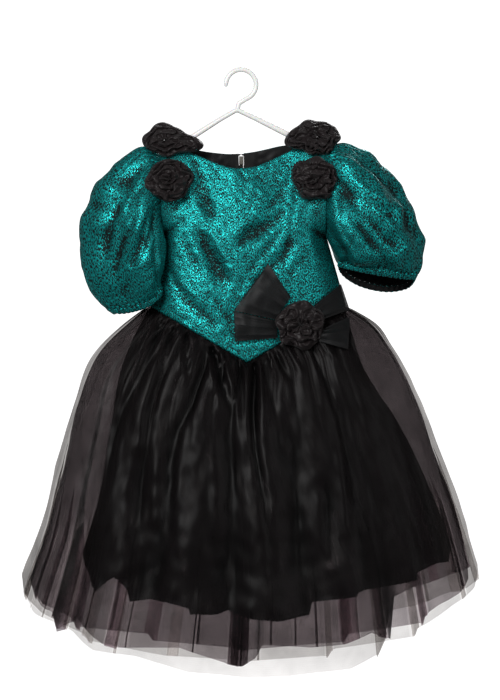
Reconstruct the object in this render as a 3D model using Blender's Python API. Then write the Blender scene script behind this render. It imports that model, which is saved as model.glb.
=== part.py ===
"""Flower girl dress hung on a white moulded hanger.

Teal lame bodice with a pointed waist and puff sleeves, an opaque black underskirt, two net skirts,
taffeta rosettes on the shoulders and waist, an organza bow and a zip at the centre back.
The dress faces -Y and hangs along Z. The origin is the inner top of the hanger's hook.
Sizes are in millimetres here, and each mesh is scaled to metres when it is made.
"""

import math
from collections import namedtuple

import bmesh
import bpy
import numpy as np
from mathutils import Vector
from mathutils.bvhtree import BVHTree

METRES = 0.001

# Cloth walls and the gaps that sewn pieces keep
LAME_WALL = 1.2
SKIRT_WALL = 1.0
SEAM_GAP = 0.3
HALF_SEAM = SEAM_GAP / 2
WAIST_GAP = 0.7
LAYER_STEP = 2.0
CUFF_GAP = 0.7

# Bodice: shoulder tips, underarms and waist corners, as seen from the front
SHOULDER_LEFT = (-121.5, -121.0)
SHOULDER_RIGHT = (126.0, -114.0)
UNDERARM_LEFT = (-118.0, -246.0)
UNDERARM_RIGHT = (128.0, -246.0)
WAIST_LEFT = (-138.8, -350.5)
WAIST_RIGHT = (157.5, -350.5)
ARMHOLE_FRONT = 38.0
ARMHOLE_BACK = 34.0
BACK_WAIST_DIP = 7.0
NECK_MIDDLE = 0.5
WAIST_MIDDLE = (WAIST_LEFT[0] + WAIST_RIGHT[0]) / 2
WAIST_HALF = (WAIST_RIGHT[0] - WAIST_LEFT[0]) / 2
NECK_STEPS = (0, 1.4, 4.0)

# Centre back zip
ZIP_TOP_X, ZIP_WAIST_X = 0.0, 8.0
ZIP_SLOT = 3.9
CHAIN_HALF = 3.0
CHAIN_THICK = 2.2
TAPE_INNER, TAPE_OUTER = 3.7, 14.0
TAPE_THICK = 1.0
ZIP_PLANE = LAME_WALL + 3 * SEAM_GAP + TAPE_THICK / 2
ZIP_FLAT = 14.0
ZIP_BOTTOM = -346.0
FACING_DEPTH = 52.0

# Zip slider and its pull tab
SLIDER_TOP, SLIDER_BOTTOM = -126.0, -138.0
SLIDER_HALF = 3.3
SLIDER_MOUTH = 3.0
PLATE = 1.0
WEB = 2.0
BRIDGE_HALF = 1.0
BRIDGE_HOLE = 2.8
BRIDGE_WALL = 0.9
BRIDGE_RISE = 4.0
TAB_AXIS_Z = -132.0
TAB_HALF, TAB_LENGTH, TAB_THICK = 2.8, 22.0, 1.0
TAB_BAR = 1.2
TAB_WINDOW_HALF, TAB_WINDOW = 1.6, 4.4

# Hanger
HOOK_INNER = 19.0
HOOK_WIRE = 3.6
HANGER_SIDES = 10

# Grids
BODICE_COLUMNS = 15
BACK_COLUMNS = 7
BODICE_ROWS = (0, 0.006, 0.018, 0.04, 0.09, 0.16, 0.24, 0.33, 0.42, 0.52, 0.62, 0.73, 0.86, 1)
SLEEVE_COLUMNS = 30
SKIRT_COLUMNS = 33
SKIRT_FALLS = (0, 0.05, 0.14, 0.28, 0.45, 0.65, 0.84, 1)

Point = namedtuple("Point", "x z")
Depth = namedtuple("Depth", "below front back")
Crease = namedtuple("Crease", "x0 z0 x1 z1 width depth")
Sleeve = namedtuple("Sleeve", "outer_x outer_z inner_x inner_z front back sag tilt lean")
Gather = namedtuple("Gather", "angle width depth")
Section = namedtuple("Section", "fall left right front back")
Hem = namedtuple("Hem", "angle z")
Fold = namedtuple("Fold", "angle width depth start")
Rosette = namedtuple("Rosette", "name x z radius tall thick turn reach_angle reach")
Loop = namedtuple("Loop", "name root_a root_b tip_a tip_b bulge")
Arm = namedtuple("Arm", "x top half_y half_z")

# The line of the shoulders along the top of the hanger
SHOULDER_LINE = (
    Point(-140, -134), Point(-121.5, -121), Point(-91, -101.5), Point(-66, -86.5), Point(-8, -51),
    Point(9, -58.5), Point(79.5, -91.5), Point(92, -97.5), Point(126, -114), Point(142, -122),
)
FRONT_NECK = (
    Point(-91, -101.5), Point(-89.6, -104.5), Point(-87, -111.5), Point(-79.5, -118.5),
    Point(-61.5, -127), Point(-37.5, -137), Point(-16.5, -144), Point(1.5, -145),
    Point(22.5, -142), Point(42, -134), Point(63, -124), Point(79.5, -115), Point(88, -107.5),
    Point(90.6, -100.8), Point(92, -97.5),
)
BACK_NECK = (
    Point(-91, -101.5), Point(-89.6, -104.5), Point(-87, -110.5), Point(-75, -114.5),
    Point(-58.5, -118), Point(-37.5, -121), Point(-16.5, -122.5), Point(1.5, -121.5),
    Point(15, -120), Point(37.5, -115.5), Point(57, -111), Point(75, -108.5), Point(88, -106),
    Point(90.6, -100.8), Point(92, -97.5),
)
WAIST_POINT = (
    Point(-138.8, -350.5), Point(9.35, -436), Point(157.5, -350.5),
)

# How far the cloth stands from the hanger's plane, by how far it is below the shoulder line
BODY_DEPTH = (
    Depth(0, 0.2, 0.2), Depth(1, 3.9, 3.9), Depth(2.5, 5.6, 5.6), Depth(5, 7.2, 7.2),
    Depth(9, 8.8, 8.6), Depth(20, 12, 11), Depth(60, 21, 16), Depth(93, 28, 20),
    Depth(140, 39, 29), Depth(190, 46, 36), Depth(250, 49, 39), Depth(400, 51, 40),
)
BODICE_CREASES = (
    Crease(-66, -165, -39, -226, 9, 5), Crease(-63, -240, -18, -326, 11, 9),
    Crease(81, -180, 78, -258, 10, -5), Crease(70, -209, -3, -262, 10, 6),
    Crease(88, -240, 20, -330, 11, 5), Crease(-104, -200, -100, -300, 9, -4),
    Crease(20, -160, 30, -230, 14, -4), Crease(-100, -330, -30, -385, 9, 4),
)
BACK_CREASES = (
    Crease(70, -165, 40, -226, 11, 5), Crease(60, -230, 24, -320, 12, 7),
    Crease(-76, -180, -70, -262, 12, -5), Crease(-70, -240, -28, -318, 12, 6),
)

# Sleeves: each row is a loop from the armhole to the sleeve's hem. The last two rows are the casing.
LEFT_SLEEVE = (
    Sleeve(-122, -121, -118.9, -245, 38, 34, 0, 0, 0),
    Sleeve(-150, -114, -124, -254, 50, 44, 0, 0, 4),
    Sleeve(-186, -137, -130, -264, 59, 51, 0, 0, 8),
    Sleeve(-215, -168, -135, -275, 65, 56, 0, 0, 11),
    Sleeve(-235, -208, -139, -286, 69, 59, 0, 0, 13),
    Sleeve(-242, -250, -142, -295, 68, 58, 0, 0, 15),
    Sleeve(-239, -290, -145, -299, 62, 55, 2, 0, 17),
    Sleeve(-229, -321, -146, -303, 55, 51, 4, 0, 19),
    Sleeve(-214, -344, -145.5, -306, 48, 47, 5, 0, 20),
    Sleeve(-201, -354, -143.5, -310, 43, 43, 5, 0, 20),
    Sleeve(-190, -362, -138, -319, 40, 40, 5, 0, 20),
)
RIGHT_SLEEVE = (
    Sleeve(126.5, -114, 128.9, -245, 38, 34, 0, 0, 0),
    Sleeve(157, -106, 133, -252, 50, 44, 0, 0, 0),
    Sleeve(190, -121, 140, -261, 59, 51, 0, 0, 0),
    Sleeve(221, -145, 147, -270, 65, 56, 1, 2, 0),
    Sleeve(248, -182, 152, -274, 69, 59, 3, 4, 0),
    Sleeve(266, -220, 155, -276, 68, 59, 6, 6, 0),
    Sleeve(275, -258, 156, -277, 62, 57, 10, 9, 0),
    Sleeve(274, -282, 155, -277.5, 53, 52, 13, 11, 0),
    Sleeve(269, -295, 153, -278, 41, 45, 15, 12, 0),
    Sleeve(264, -301, 150.5, -280, 34, 38, 15, 12, 0),
    Sleeve(259, -311, 147, -289, 30, 35, 15, 12, 0),
)
LEFT_GATHERS = (
    Gather(12, 13, 5), Gather(47, 13, -7), Gather(82, 14, 6), Gather(112, 13, -8), Gather(150, 14, 6),
    Gather(200, 14, -6), Gather(240, 14, 7), Gather(282, 14, -7), Gather(322, 14, 6),
)
RIGHT_GATHERS = (
    Gather(20, 13, -5), Gather(52, 13, 6), Gather(80, 13, -8), Gather(112, 14, 7), Gather(140, 13, -8),
    Gather(205, 14, 6), Gather(246, 14, -7), Gather(286, 14, 6), Gather(328, 14, -6),
)

# Skirts: widths and depths by the fall from the waist (0) to the hem (1)
UNDERSKIRT = (
    Section(0, -138.8, 157.5, 50, 40), Section(0.1, -156, 165, 58, 46),
    Section(0.25, -179, 182, 68, 52), Section(0.5, -196, 238, 79, 57),
    Section(0.75, -210, 281, 88, 60), Section(1, -237, 314, 95, 62),
)
TULLE_INNER = (
    Section(0, -138.8, 157.5, 50, 40), Section(0.06, -164, 182, 60, 50),
    Section(0.15, -196, 207, 74, 57), Section(0.36, -228, 245, 92, 66),
    Section(0.55, -250, 279, 102, 71), Section(0.77, -272, 311, 110, 75),
    Section(1, -300, 333, 117, 79),
)
TULLE_OUTER = (
    Section(0, -138.8, 157.5, 50, 40), Section(0.06, -172, 198, 67, 56),
    Section(0.15, -211, 225, 84, 66), Section(0.36, -249, 268, 104, 77),
    Section(0.55, -272, 298, 116, 83), Section(0.77, -295, 329, 125, 88),
    Section(1, -328, 356, 132, 92),
)
UNDERSKIRT_HEM = (
    Hem(0, -713), Hem(25, -722), Hem(51, -748), Hem(62, -776), Hem(76, -801), Hem(90, -817),
    Hem(115, -811), Hem(138, -795), Hem(157, -773), Hem(180, -722), Hem(215, -765),
    Hem(270, -800), Hem(325, -765), Hem(360, -713),
)
INNER_HEM = (
    Hem(0, -748), Hem(20, -758), Hem(40, -782), Hem(52, -840), Hem(65, -855), Hem(90, -874),
    Hem(108, -862), Hem(125, -858), Hem(144, -828), Hem(165, -800), Hem(180, -768),
    Hem(215, -825), Hem(270, -874), Hem(325, -825), Hem(360, -748),
)
OUTER_HEM = (
    Hem(0, -736), Hem(12, -770), Hem(34, -794), Hem(46, -815), Hem(58, -868), Hem(75, -888),
    Hem(90, -893), Hem(112, -884), Hem(130, -862), Hem(146, -826), Hem(165, -785),
    Hem(180, -745), Hem(215, -840), Hem(270, -890), Hem(325, -840), Hem(360, -736),
)
SKIRT_FOLDS = (
    Fold(14, 6, 6, 0.1), Fold(27, 5, -7, 0.1), Fold(40, 6, 8, 0), Fold(52, 5, -9, 0.05),
    Fold(64, 6, 7, 0), Fold(75, 5, -6, 0.1), Fold(86, 6, 10, 0), Fold(97, 5, -8, 0),
    Fold(108, 6, 7, 0.05), Fold(120, 6, -9, 0), Fold(132, 6, 9, 0), Fold(145, 6, -10, 0),
    Fold(158, 6, 8, 0.1), Fold(169, 5, -6, 0.1), Fold(193, 6, 6, 0.1), Fold(208, 6, -8, 0),
    Fold(223, 6, 9, 0.05), Fold(238, 6, -8, 0), Fold(254, 6, 8, 0), Fold(270, 6, -7, 0.1),
    Fold(286, 6, 9, 0), Fold(301, 6, -9, 0), Fold(316, 6, 7, 0.05), Fold(332, 6, -8, 0),
    Fold(346, 6, 6, 0.1),
)

ROSETTES = (
    Rosette("rosette_left_upper", -115, -103, 33, 0.74, 27, 0.3, -12, 24),
    Rosette("rosette_left_lower", -106.5, -162.5, 34, 0.92, 26, 1.1, 200, 3),
    Rosette("rosette_right_upper", 114, -98, 34, 0.8, 27, 2.0, 190, 16),
    Rosette("rosette_right_lower", 109.5, -161, 35, 0.92, 26, 0.7, 20, 3),
)
WAIST_ROSETTE = Rosette("rosette_waist", 88.5, -379.5, 35, 1, 24, 1.6, 40, 2)
ROSETTE_SECTORS, ROSETTE_RINGS, ROSETTE_PETALS = 18, 5, 6

BOW = (
    Loop("bow_left_upper", (75, -339), (52.5, -372), (40.5, -288), (-10.5, -358), 13),
    Loop("bow_left_lower", (54, -376), (56, -399), (-11, -366), (-9, -404), 11),
    Loop("bow_right_upper", (108, -351), (122, -371), (150, -318), (163, -357), 11),
    Loop("bow_right_lower", (123, -385), (115, -404), (163, -367), (160, -416), 11),
)
BOW_COLUMNS, BOW_ROWS, BOW_TURN = 5, 11, math.radians(163)
REST_GAP = 0.6
MOST_TILT = 0.6
RAY_START, RAY_END = -400, 60
SEAT_SAMPLES = 4

HANGER_ARMS = (
    Arm(-137, -134.5, 3.2, 3.2), Arm(-133, -131, 4.7, 5.2), Arm(-121.5, -122.7, 4.7, 5.2),
    Arm(-91, -103.3, 4.7, 5.2), Arm(-66, -88, 4.6, 5), Arm(-30, -66, 4.2, 4.2),
    Arm(-6, -52.5, 4.2, 4), Arm(20, -64.5, 4.2, 4.2), Arm(60, -83.5, 4.6, 5),
    Arm(92, -99.3, 4.7, 5.2), Arm(126, -115.7, 4.7, 5.2), Arm(138, -121.5, 4.7, 5.2),
    Arm(142, -125, 3.2, 3.2),
)

# Colour, metallic, roughness
FINISHES = {
    "lame": ((0.006, 0.21, 0.19, 1), 0.6, 0.4),
    "taffeta": ((0.006, 0.006, 0.007, 1), 0.0, 0.45),
    "tulle": ((0.02, 0.018, 0.02, 1), 0.0, 0.8),
    "organza": ((0.012, 0.012, 0.013, 1), 0.0, 0.6),
    "rosette": ((0.015, 0.011, 0.011, 1), 0.0, 0.5),
    "tape": ((0.01, 0.01, 0.01, 1), 0.0, 0.85),
    "metal": ((0.55, 0.53, 0.5, 1), 1.0, 0.3),
    "plastic": ((0.88, 0.88, 0.87, 1), 0.0, 0.35),
}

shells = {}
shell_points = {}


def spline(xs, ys, at):
    """Values at `at` on a smooth curve through the points (xs, ys)."""
    xs, ys = np.asarray(xs, float), np.asarray(ys, float)
    slopes = np.gradient(ys, xs)
    k = np.clip(np.searchsorted(xs, at) - 1, 0, len(xs) - 2)
    step = xs[k + 1] - xs[k]
    t = np.clip((at - xs[k]) / step, 0, 1)
    ease = t * t * (3 - 2 * t)
    starts = t * (1 - t) ** 2 * step * slopes[k]
    ends = t * t * (t - 1) * step * slopes[k + 1]
    return (1 - ease) * ys[k] + ease * ys[k + 1] + starts + ends


def table(rows, key, value, at):
    """The column `value` of a table, read smoothly along its column `key`."""
    return spline([getattr(r, key) for r in rows], [getattr(r, value) for r in rows], at)


def straight(rows, at):
    """The z of an outline of points at x, with straight runs."""
    return np.interp(at, [p.x for p in rows], [p.z for p in rows])


def give_finish(obj, finish):
    colour, metallic, roughness = FINISHES[finish]
    material = bpy.data.materials.new(f"{finish}_{obj.name}")
    material.use_nodes = True
    shader = material.node_tree.nodes["Principled BSDF"]
    shader.inputs["Base Color"].default_value = colour
    shader.inputs["Metallic"].default_value = metallic
    shader.inputs["Roughness"].default_value = roughness
    material.diffuse_color = colour
    obj.data.materials.append(material)


def add_mesh(name, points, faces, finish, flat_angle=50):
    """Makes one object from points in mm, with its own material."""
    mesh = bpy.data.meshes.new(name)
    mesh.from_pydata([tuple(p * METRES) for p in np.asarray(points, float)], [], faces)
    mesh.shade_smooth()
    mesh.set_sharp_from_angle(angle=math.radians(flat_angle))
    obj = bpy.data.objects.new(name, mesh)
    bpy.context.scene.collection.objects.link(obj)
    give_finish(obj, finish)
    shells[name] = BVHTree.FromPolygons([Vector(p) for p in points], faces)
    shell_points[name] = np.array(points, float)
    return obj


def inward(outer, closed):
    """Unit normals of a grid whose rows go down and columns go right, as seen from outside."""
    down = np.gradient(outer, axis=0)
    if closed:
        across = np.roll(outer, -1, axis=1) - np.roll(outer, 1, axis=1)
    else:
        across = np.gradient(outer, axis=1)
    normal = np.cross(down, across)
    return normal / np.linalg.norm(normal, axis=2, keepdims=True)


def cloth(name, outer, wall, finish, closed=False, side=0):
    """A wall of cloth. `side` is -1 or 1 on a front or back panel, which stays on its side of Y = 0."""
    inner = outer - wall * inward(outer, closed)
    if side:
        inner[..., 1] = side * np.maximum(side * inner[..., 1], HALF_SEAM)
    rows, columns = outer.shape[:2]
    count = rows * columns
    points = np.concatenate([outer.reshape(-1, 3), inner.reshape(-1, 3)])

    def at(row, column, layer=0):
        return layer * count + row * columns + column % columns

    faces = []
    steps = columns if closed else columns - 1
    for r in range(rows - 1):
        for c in range(steps):
            a, b, d, e = at(r, c), at(r + 1, c), at(r + 1, c + 1), at(r, c + 1)
            faces += [(a, b, d), (a, d, e)]
            faces += [(d + count, b + count, a + count), (e + count, d + count, a + count)]
    for c in range(steps):
        last = rows - 1
        faces.append((at(0, c), at(0, c + 1), at(0, c + 1, 1), at(0, c, 1)))
        faces.append((at(last, c + 1), at(last, c), at(last, c, 1), at(last, c + 1, 1)))
    if not closed:
        for r in range(rows - 1):
            right = columns - 1
            faces.append((at(r + 1, 0), at(r, 0), at(r, 0, 1), at(r + 1, 0, 1)))
            faces.append((at(r, right), at(r + 1, right), at(r + 1, right, 1), at(r, right, 1)))
    return add_mesh(name, points, faces, finish)


def loft(name, rings, finish):
    """A closed solid through rings of points, with flat ends."""
    sides = len(rings[0])
    faces = [tuple(reversed(range(sides)))]
    for r in range(len(rings) - 1):
        for s in range(sides):
            a, b = r * sides + s, r * sides + (s + 1) % sides
            faces.append((a, b, b + sides, a + sides))
    faces.append(tuple(range((len(rings) - 1) * sides, len(rings) * sides)))
    return add_mesh(name, np.concatenate(rings), faces, finish, 40)


def prism(name, outline, x0, x1, finish):
    """An outline of (y, z) points drawn out along X."""
    rings = [np.array([(x, y, z) for y, z in outline]) for x in (x0, x1)]
    return loft(name, rings, finish)


def combine(obj, tool, operation):
    """Joins or cuts a solid with another one, which then only guides it."""
    change = obj.modifiers.new(operation.lower(), "BOOLEAN")
    change.operation = operation
    change.object = tool
    tool.hide_render = True
    tool.display_type = "WIRE"
    shells.pop(tool.name)


# Bodice

def side_x(z, left):
    """The x of the bodice's edge: the armhole, then the side seam."""
    tip, underarm, waist = (
        (SHOULDER_LEFT, UNDERARM_LEFT, WAIST_LEFT) if left
        else (SHOULDER_RIGHT, UNDERARM_RIGHT, WAIST_RIGHT)
    )
    return np.interp(-z, (-tip[1], -underarm[1], -waist[1]), (tip[0], underarm[0], waist[0]))


def edge_depth(below, left, depth):
    """How far the armhole stands from Y = 0 below the shoulder: an oval, then a closed side seam."""
    tip, underarm = (SHOULDER_LEFT, UNDERARM_LEFT) if left else (SHOULDER_RIGHT, UNDERARM_RIGHT)
    down = np.clip(below / (tip[1] - underarm[1]), 0, 1)
    return np.maximum(depth * 2 * np.sqrt(down * (1 - down)), HALF_SEAM)


def crease_depth(creases, x, z):
    """Soft troughs, and ridges where the depth is below zero, along straight runs."""
    total = np.zeros_like(x)
    for c in creases:
        along = np.array([c.x1 - c.x0, c.z1 - c.z0])
        length = np.linalg.norm(along)
        along = along / length
        t = ((x - c.x0) * along[0] + (z - c.z0) * along[1]) / length
        off = (x - c.x0) * along[1] - (z - c.z0) * along[0]
        fade = np.sin(np.pi * np.clip(t, 0, 1)) ** 0.7
        total += c.depth * fade * np.exp(-((off / c.width) ** 2))
    return total


def bodice_y(x, z, side):
    """The outer cloth's distance from Y = 0, on the front (side -1) or the back (side 1)."""
    left, right = side_x(z, True), side_x(z, False)
    middle, half = (left + right) / 2, (right - left) / 2
    across = np.clip((x - middle) / half, -1, 1)
    below = straight(SHOULDER_LINE, x) - z
    armhole = ARMHOLE_FRONT if side < 0 else ARMHOLE_BACK
    edge = np.where(x < middle, edge_depth(below, True, armhole), edge_depth(below, False, armhole))
    centre = np.interp(
        below, [d.below for d in BODY_DEPTH], [d.front if side < 0 else d.back for d in BODY_DEPTH]
    )
    to_edge = np.abs(across) ** 4
    depth = centre * (1 - to_edge) + edge * to_edge
    creases = BODICE_CREASES if side < 0 else BACK_CREASES
    clear = np.clip((below - 30) / 30, 0, 1) * (1 - to_edge) * np.clip((z + 446) / 30, 0, 1)
    if side > 0:
        clear = clear * np.clip((np.abs(x - zip_x(z)) - ZIP_FLAT) / ZIP_FLAT, 0, 1)
    return side * np.maximum(depth - clear * crease_depth(creases, x, z), HALF_SEAM)


def waist_z(x, side):
    """The waist seam: pointed at the front, almost level at the back."""
    if side < 0:
        return straight(WAIST_POINT, x)
    across = (x - WAIST_LEFT[0]) / (WAIST_RIGHT[0] - WAIST_LEFT[0])
    return WAIST_LEFT[1] - BACK_WAIST_DIP * np.sin(np.pi * np.clip(across, 0, 1))


def bodice_grid(tops, side):
    """A panel hung from top points (x, z): each column runs down to the waist."""
    grid = np.zeros((len(BODICE_ROWS), len(tops), 3))
    for c, (x0, z0) in enumerate(tops):
        share = (x0 - SHOULDER_LEFT[0]) / (SHOULDER_RIGHT[0] - SHOULDER_LEFT[0])
        foot = np.interp(x0, (SHOULDER_LEFT[0], NECK_MIDDLE, SHOULDER_RIGHT[0]),
                         (WAIST_LEFT[0], WAIST_MIDDLE, WAIST_RIGHT[0]))
        foot_share = (foot - WAIST_LEFT[0]) / (2 * WAIST_HALF)
        z1 = waist_z(foot, side)
        for r, v in enumerate(BODICE_ROWS):
            level = SHOULDER_LEFT[1] + (SHOULDER_RIGHT[1] - SHOULDER_LEFT[1]) * share
            line = level + v * (WAIST_LEFT[1] - level)
            across = share + v * (foot_share - share)
            x = side_x(line, True) * (1 - across) + side_x(line, False) * across
            grid[r, c] = x, 0, z0 + v * (z1 - z0)
    grid[..., 1] = bodice_y(grid[..., 0], grid[..., 2], side)
    return grid


def top_points(xs, neck):
    """Top edge points: the shoulder line outside the neck, and the neckline inside it."""
    line, curve = straight(SHOULDER_LINE, xs), table(neck, "x", "z", xs)
    inside = (xs > neck[0].x) & (xs < neck[-1].x)
    return np.stack([xs, np.where(inside, curve, line)], axis=1)


def make_bodice():
    """Columns crowd at the neck points, where the neckline drops off the hanger."""
    left_neck = FRONT_NECK[0].x + np.array(NECK_STEPS)
    right_neck = FRONT_NECK[-1].x - np.array(NECK_STEPS[::-1])
    left_strap = np.array([SHOULDER_LEFT[0], (SHOULDER_LEFT[0] + FRONT_NECK[0].x) / 2])
    right_strap = np.array([(SHOULDER_RIGHT[0] + FRONT_NECK[-1].x) / 2, SHOULDER_RIGHT[0]])
    middle = np.linspace(left_neck[-1], right_neck[0], BODICE_COLUMNS)[1:-1]
    xs = np.concatenate([left_strap, left_neck, middle, right_neck, right_strap])
    cloth("bodice_front", bodice_grid(top_points(xs, FRONT_NECK), -1), LAME_WALL, "lame", side=-1)
    near_zip = np.linspace(ZIP_TOP_X - ZIP_SLOT, left_neck[-1], BACK_COLUMNS)[:-1]
    left_xs = np.concatenate([near_zip, left_neck[::-1], left_strap[::-1]])
    near_zip = np.linspace(right_neck[0], ZIP_TOP_X + ZIP_SLOT, BACK_COLUMNS)[1:]
    right_xs = np.concatenate([right_strap[::-1], right_neck[::-1], near_zip])
    for name, xs in (("bodice_back_left", left_xs), ("bodice_back_right", right_xs)):
        grid = bodice_grid(top_points(xs, BACK_NECK), 1)
        straighten_at_zip(grid)
        cloth(name, grid, LAME_WALL, "lame", side=1)


def zip_x(z):
    """The centre back line."""
    return np.interp(-z, (121, 350), (ZIP_TOP_X, ZIP_WAIST_X))


def straighten_at_zip(grid):
    """Lays the panel's centre back edge along the zip."""
    column = 0 if abs(grid[0, 0, 0]) < abs(grid[0, -1, 0]) else -1
    sign = 1 if grid[0, column, 0] > 0 else -1
    z = grid[:, column, 2]
    grid[:, column, 0] = zip_x(z) + sign * ZIP_SLOT
    grid[:, column, 1] = bodice_y(grid[:, column, 0], z, 1)


def back_strip(x_from, x_to, z_from, z_to, columns, rows, moved_in):
    """A grid just inside the back, between two distances from the zip."""
    z = np.linspace(z_from, z_to, rows)[:, None] + np.zeros(columns)
    x = zip_x(z) + np.linspace(x_from, x_to, columns)
    return np.stack([x, bodice_y(x, z, 1) - moved_in, z], axis=2)


def make_facings():
    """Black facings round the back neck, moved in from the back's own points."""
    moved_in = ZIP_PLANE + TAPE_THICK / 2 + SEAM_GAP
    for name, ends in (("facing_left", (-5, -76)), ("facing_right", (76, 5))):
        tops = top_points(np.linspace(*ends, 9), BACK_NECK)
        falls = np.linspace(0, 1, 5)[:, None]
        edge = np.abs(tops[:, 0]) / 76
        depth = FACING_DEPTH * (1 - 0.35 * edge ** 2)
        z = tops[:, 1] - 0.6 - falls * depth
        x = tops[:, 0] + 0 * falls
        grid = np.stack([x, bodice_y(x, z, 1) - moved_in, z], axis=2)
        cloth(name, grid, SKIRT_WALL, "taffeta")


# Sleeves

def sleeve_loop(row, angles):
    """One loop: angle 0 is its outer edge, 90 its front, 180 its inner edge."""
    cos, sin = np.cos(angles), np.sin(angles)
    front = np.maximum(sin, 0)
    x = (row.outer_x + row.inner_x) / 2 + cos * (row.outer_x - row.inner_x) / 2 + row.lean * front
    z = (row.outer_z + row.inner_z) / 2 + cos * (row.outer_z - row.inner_z) / 2
    z = z - row.sag * np.abs(sin) + row.tilt * sin
    y = -np.where(sin > 0, row.front, row.back) * sin
    return np.stack([x, y, z], axis=1)


def sleeve_grid(rows, gathers, mirrored):
    angles = np.linspace(0, 2 * math.pi, SLEEVE_COLUMNS, endpoint=False)
    if mirrored:
        angles = angles[::-1]
    grid = np.array([sleeve_loop(row, angles) for row in rows])
    degrees = np.degrees(angles)
    wave = np.zeros(len(angles))
    for g in gathers:
        off = (degrees - g.angle + 180) % 360 - 180
        wave += g.depth * np.exp(-((off / g.width) ** 2))
    fullness = np.sin(np.pi * np.linspace(0, 1, len(rows))) ** 0.8
    fullness[-2:] = 0
    return grid + inward(grid, True) * (wave[None, :, None] * fullness[:, None, None])


def make_sleeves():
    sides = (("left", LEFT_SLEEVE, LEFT_GATHERS, False), ("right", RIGHT_SLEEVE, RIGHT_GATHERS, True))
    for side, rows, gathers, mirrored in sides:
        grid = sleeve_grid(rows, gathers, mirrored)
        cloth(f"sleeve_{side}", grid[:-1], LAME_WALL, "lame", closed=True)
        down = grid[-1] - grid[-2]
        start = grid[-2] + CUFF_GAP * down / np.linalg.norm(down, axis=1, keepdims=True)
        casing = np.array([start, (start + grid[-1]) / 2, grid[-1]])
        cloth(f"cuff_{side}", casing, LAME_WALL, "lame", closed=True)


# Skirts

def fold_depth(degrees, drop, fall):
    """How far the gathers stand out or in, growing with the distance from the waist."""
    total = np.zeros_like(degrees)
    for f in SKIRT_FOLDS:
        off = (degrees - f.angle + 180) % 360 - 180
        grown = np.clip((fall - f.start) / (1 - f.start), 0, 1) ** 0.6
        total += f.depth * grown * np.exp(-((off / f.width) ** 2))
    return total * np.clip(drop / 120, 0, 1)


def skirt_grid(sections, hem, layer, front):
    """Half of a skirt: its rows follow the waist seam at the top and the hem at the bottom."""
    degrees = np.linspace(180, 0, SKIRT_COLUMNS) if front else np.linspace(360, 180, SKIRT_COLUMNS)
    side = -1 if front else 1
    angles = np.radians(degrees)
    cos, sin = np.cos(angles), np.abs(np.sin(angles))
    tuck = layer * LAYER_STEP
    end = table(hem, "angle", "z", degrees)
    grid = np.zeros((len(SKIRT_FALLS), SKIRT_COLUMNS, 3))
    for r, fall in enumerate(SKIRT_FALLS):
        near_waist = max(0, 1 - fall * 8)
        left = table(sections, "fall", "left", fall) + tuck * near_waist
        right = table(sections, "fall", "right", fall) - tuck * near_waist
        depth = table(sections, "fall", "front" if front else "back", fall) - tuck * near_waist
        x = (left + right) / 2 + cos * (right - left) / 2
        waist_shape, hem_shape = 1 - cos ** 4, sin ** 0.9
        mix = min(1, fall * 4)
        shape = waist_shape * (1 - mix) + hem_shape * mix
        top = waist_z(WAIST_MIDDLE + cos * (WAIST_HALF - tuck), side) - WAIST_GAP
        z = top + fall * (end - top)
        wave = fold_depth(degrees, top - z, fall)
        grid[r, :, 0] = x + 0.5 * wave * cos
        grid[r, :, 1] = side * np.maximum(depth * shape + wave * sin, HALF_SEAM)
        grid[r, :, 2] = z
    grid[:, (0, -1), 1] = side * HALF_SEAM
    return grid


def make_skirts():
    layers = (
        ("tulle_outer", TULLE_OUTER, OUTER_HEM, 0, "tulle"),
        ("tulle_inner", TULLE_INNER, INNER_HEM, 1, "tulle"),
        ("underskirt", UNDERSKIRT, UNDERSKIRT_HEM, 2, "taffeta"),
    )
    for name, sections, hem, layer, finish in layers:
        for half, front in (("front", True), ("back", False)):
            grid = skirt_grid(sections, hem, layer, front)
            cloth(f"{name}_{half}", grid, SKIRT_WALL, finish, side=-1 if front else 1)


# Trimmings that lie on the panels

def behind(x, z, carriers):
    """The y of the frontmost carrier behind this point, or None beside them."""
    hits = []
    for name in carriers:
        hit = shells[name].ray_cast(Vector((x, RAY_START, z)), Vector((0, 1, 0)))[0]
        if hit is not None and hit.y < RAY_END:
            hits.append(hit.y)
    return min(hits) if hits else None


def plane_behind(xs, zs, carriers):
    """A plane y = a + b x + c z fitted to the carriers behind these points."""
    rows, ys = [], []
    for x, z in zip(xs, zs):
        y = behind(x, z, carriers)
        if y is not None:
            rows.append((1, x, z))
            ys.append(y)
    return np.linalg.lstsq(np.array(rows, float), np.array(ys), rcond=None)[0]


def seated(points, faces, carriers):
    """Moves points along Y until they all but touch the carriers behind them."""
    steps = range(SEAT_SAMPLES + 1)
    shares = [(i, j, SEAT_SAMPLES - i - j) for i in steps for j in steps if i + j <= SEAT_SAMPLES]
    corners = points[np.array(faces)]
    samples = np.einsum("sk,fkc->fsc", np.array(shares) / SEAT_SAMPLES, corners).reshape(-1, 3)
    gaps = []
    for x, y, z in samples:
        cloth_y = behind(x, z, carriers)
        if cloth_y is not None:
            gaps.append(cloth_y - y)
    back = BVHTree.FromPolygons([Vector(p) for p in points], faces)
    for x, y, z in np.vstack([shell_points[name] for name in carriers]):
        hit = back.ray_cast(Vector((x, RAY_END, z)), Vector((0, -1, 0)))[0]
        if hit is not None and y < RAY_END:
            gaps.append(y - hit.y)
    return points + (0, min(gaps) - REST_GAP, 0)


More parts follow.
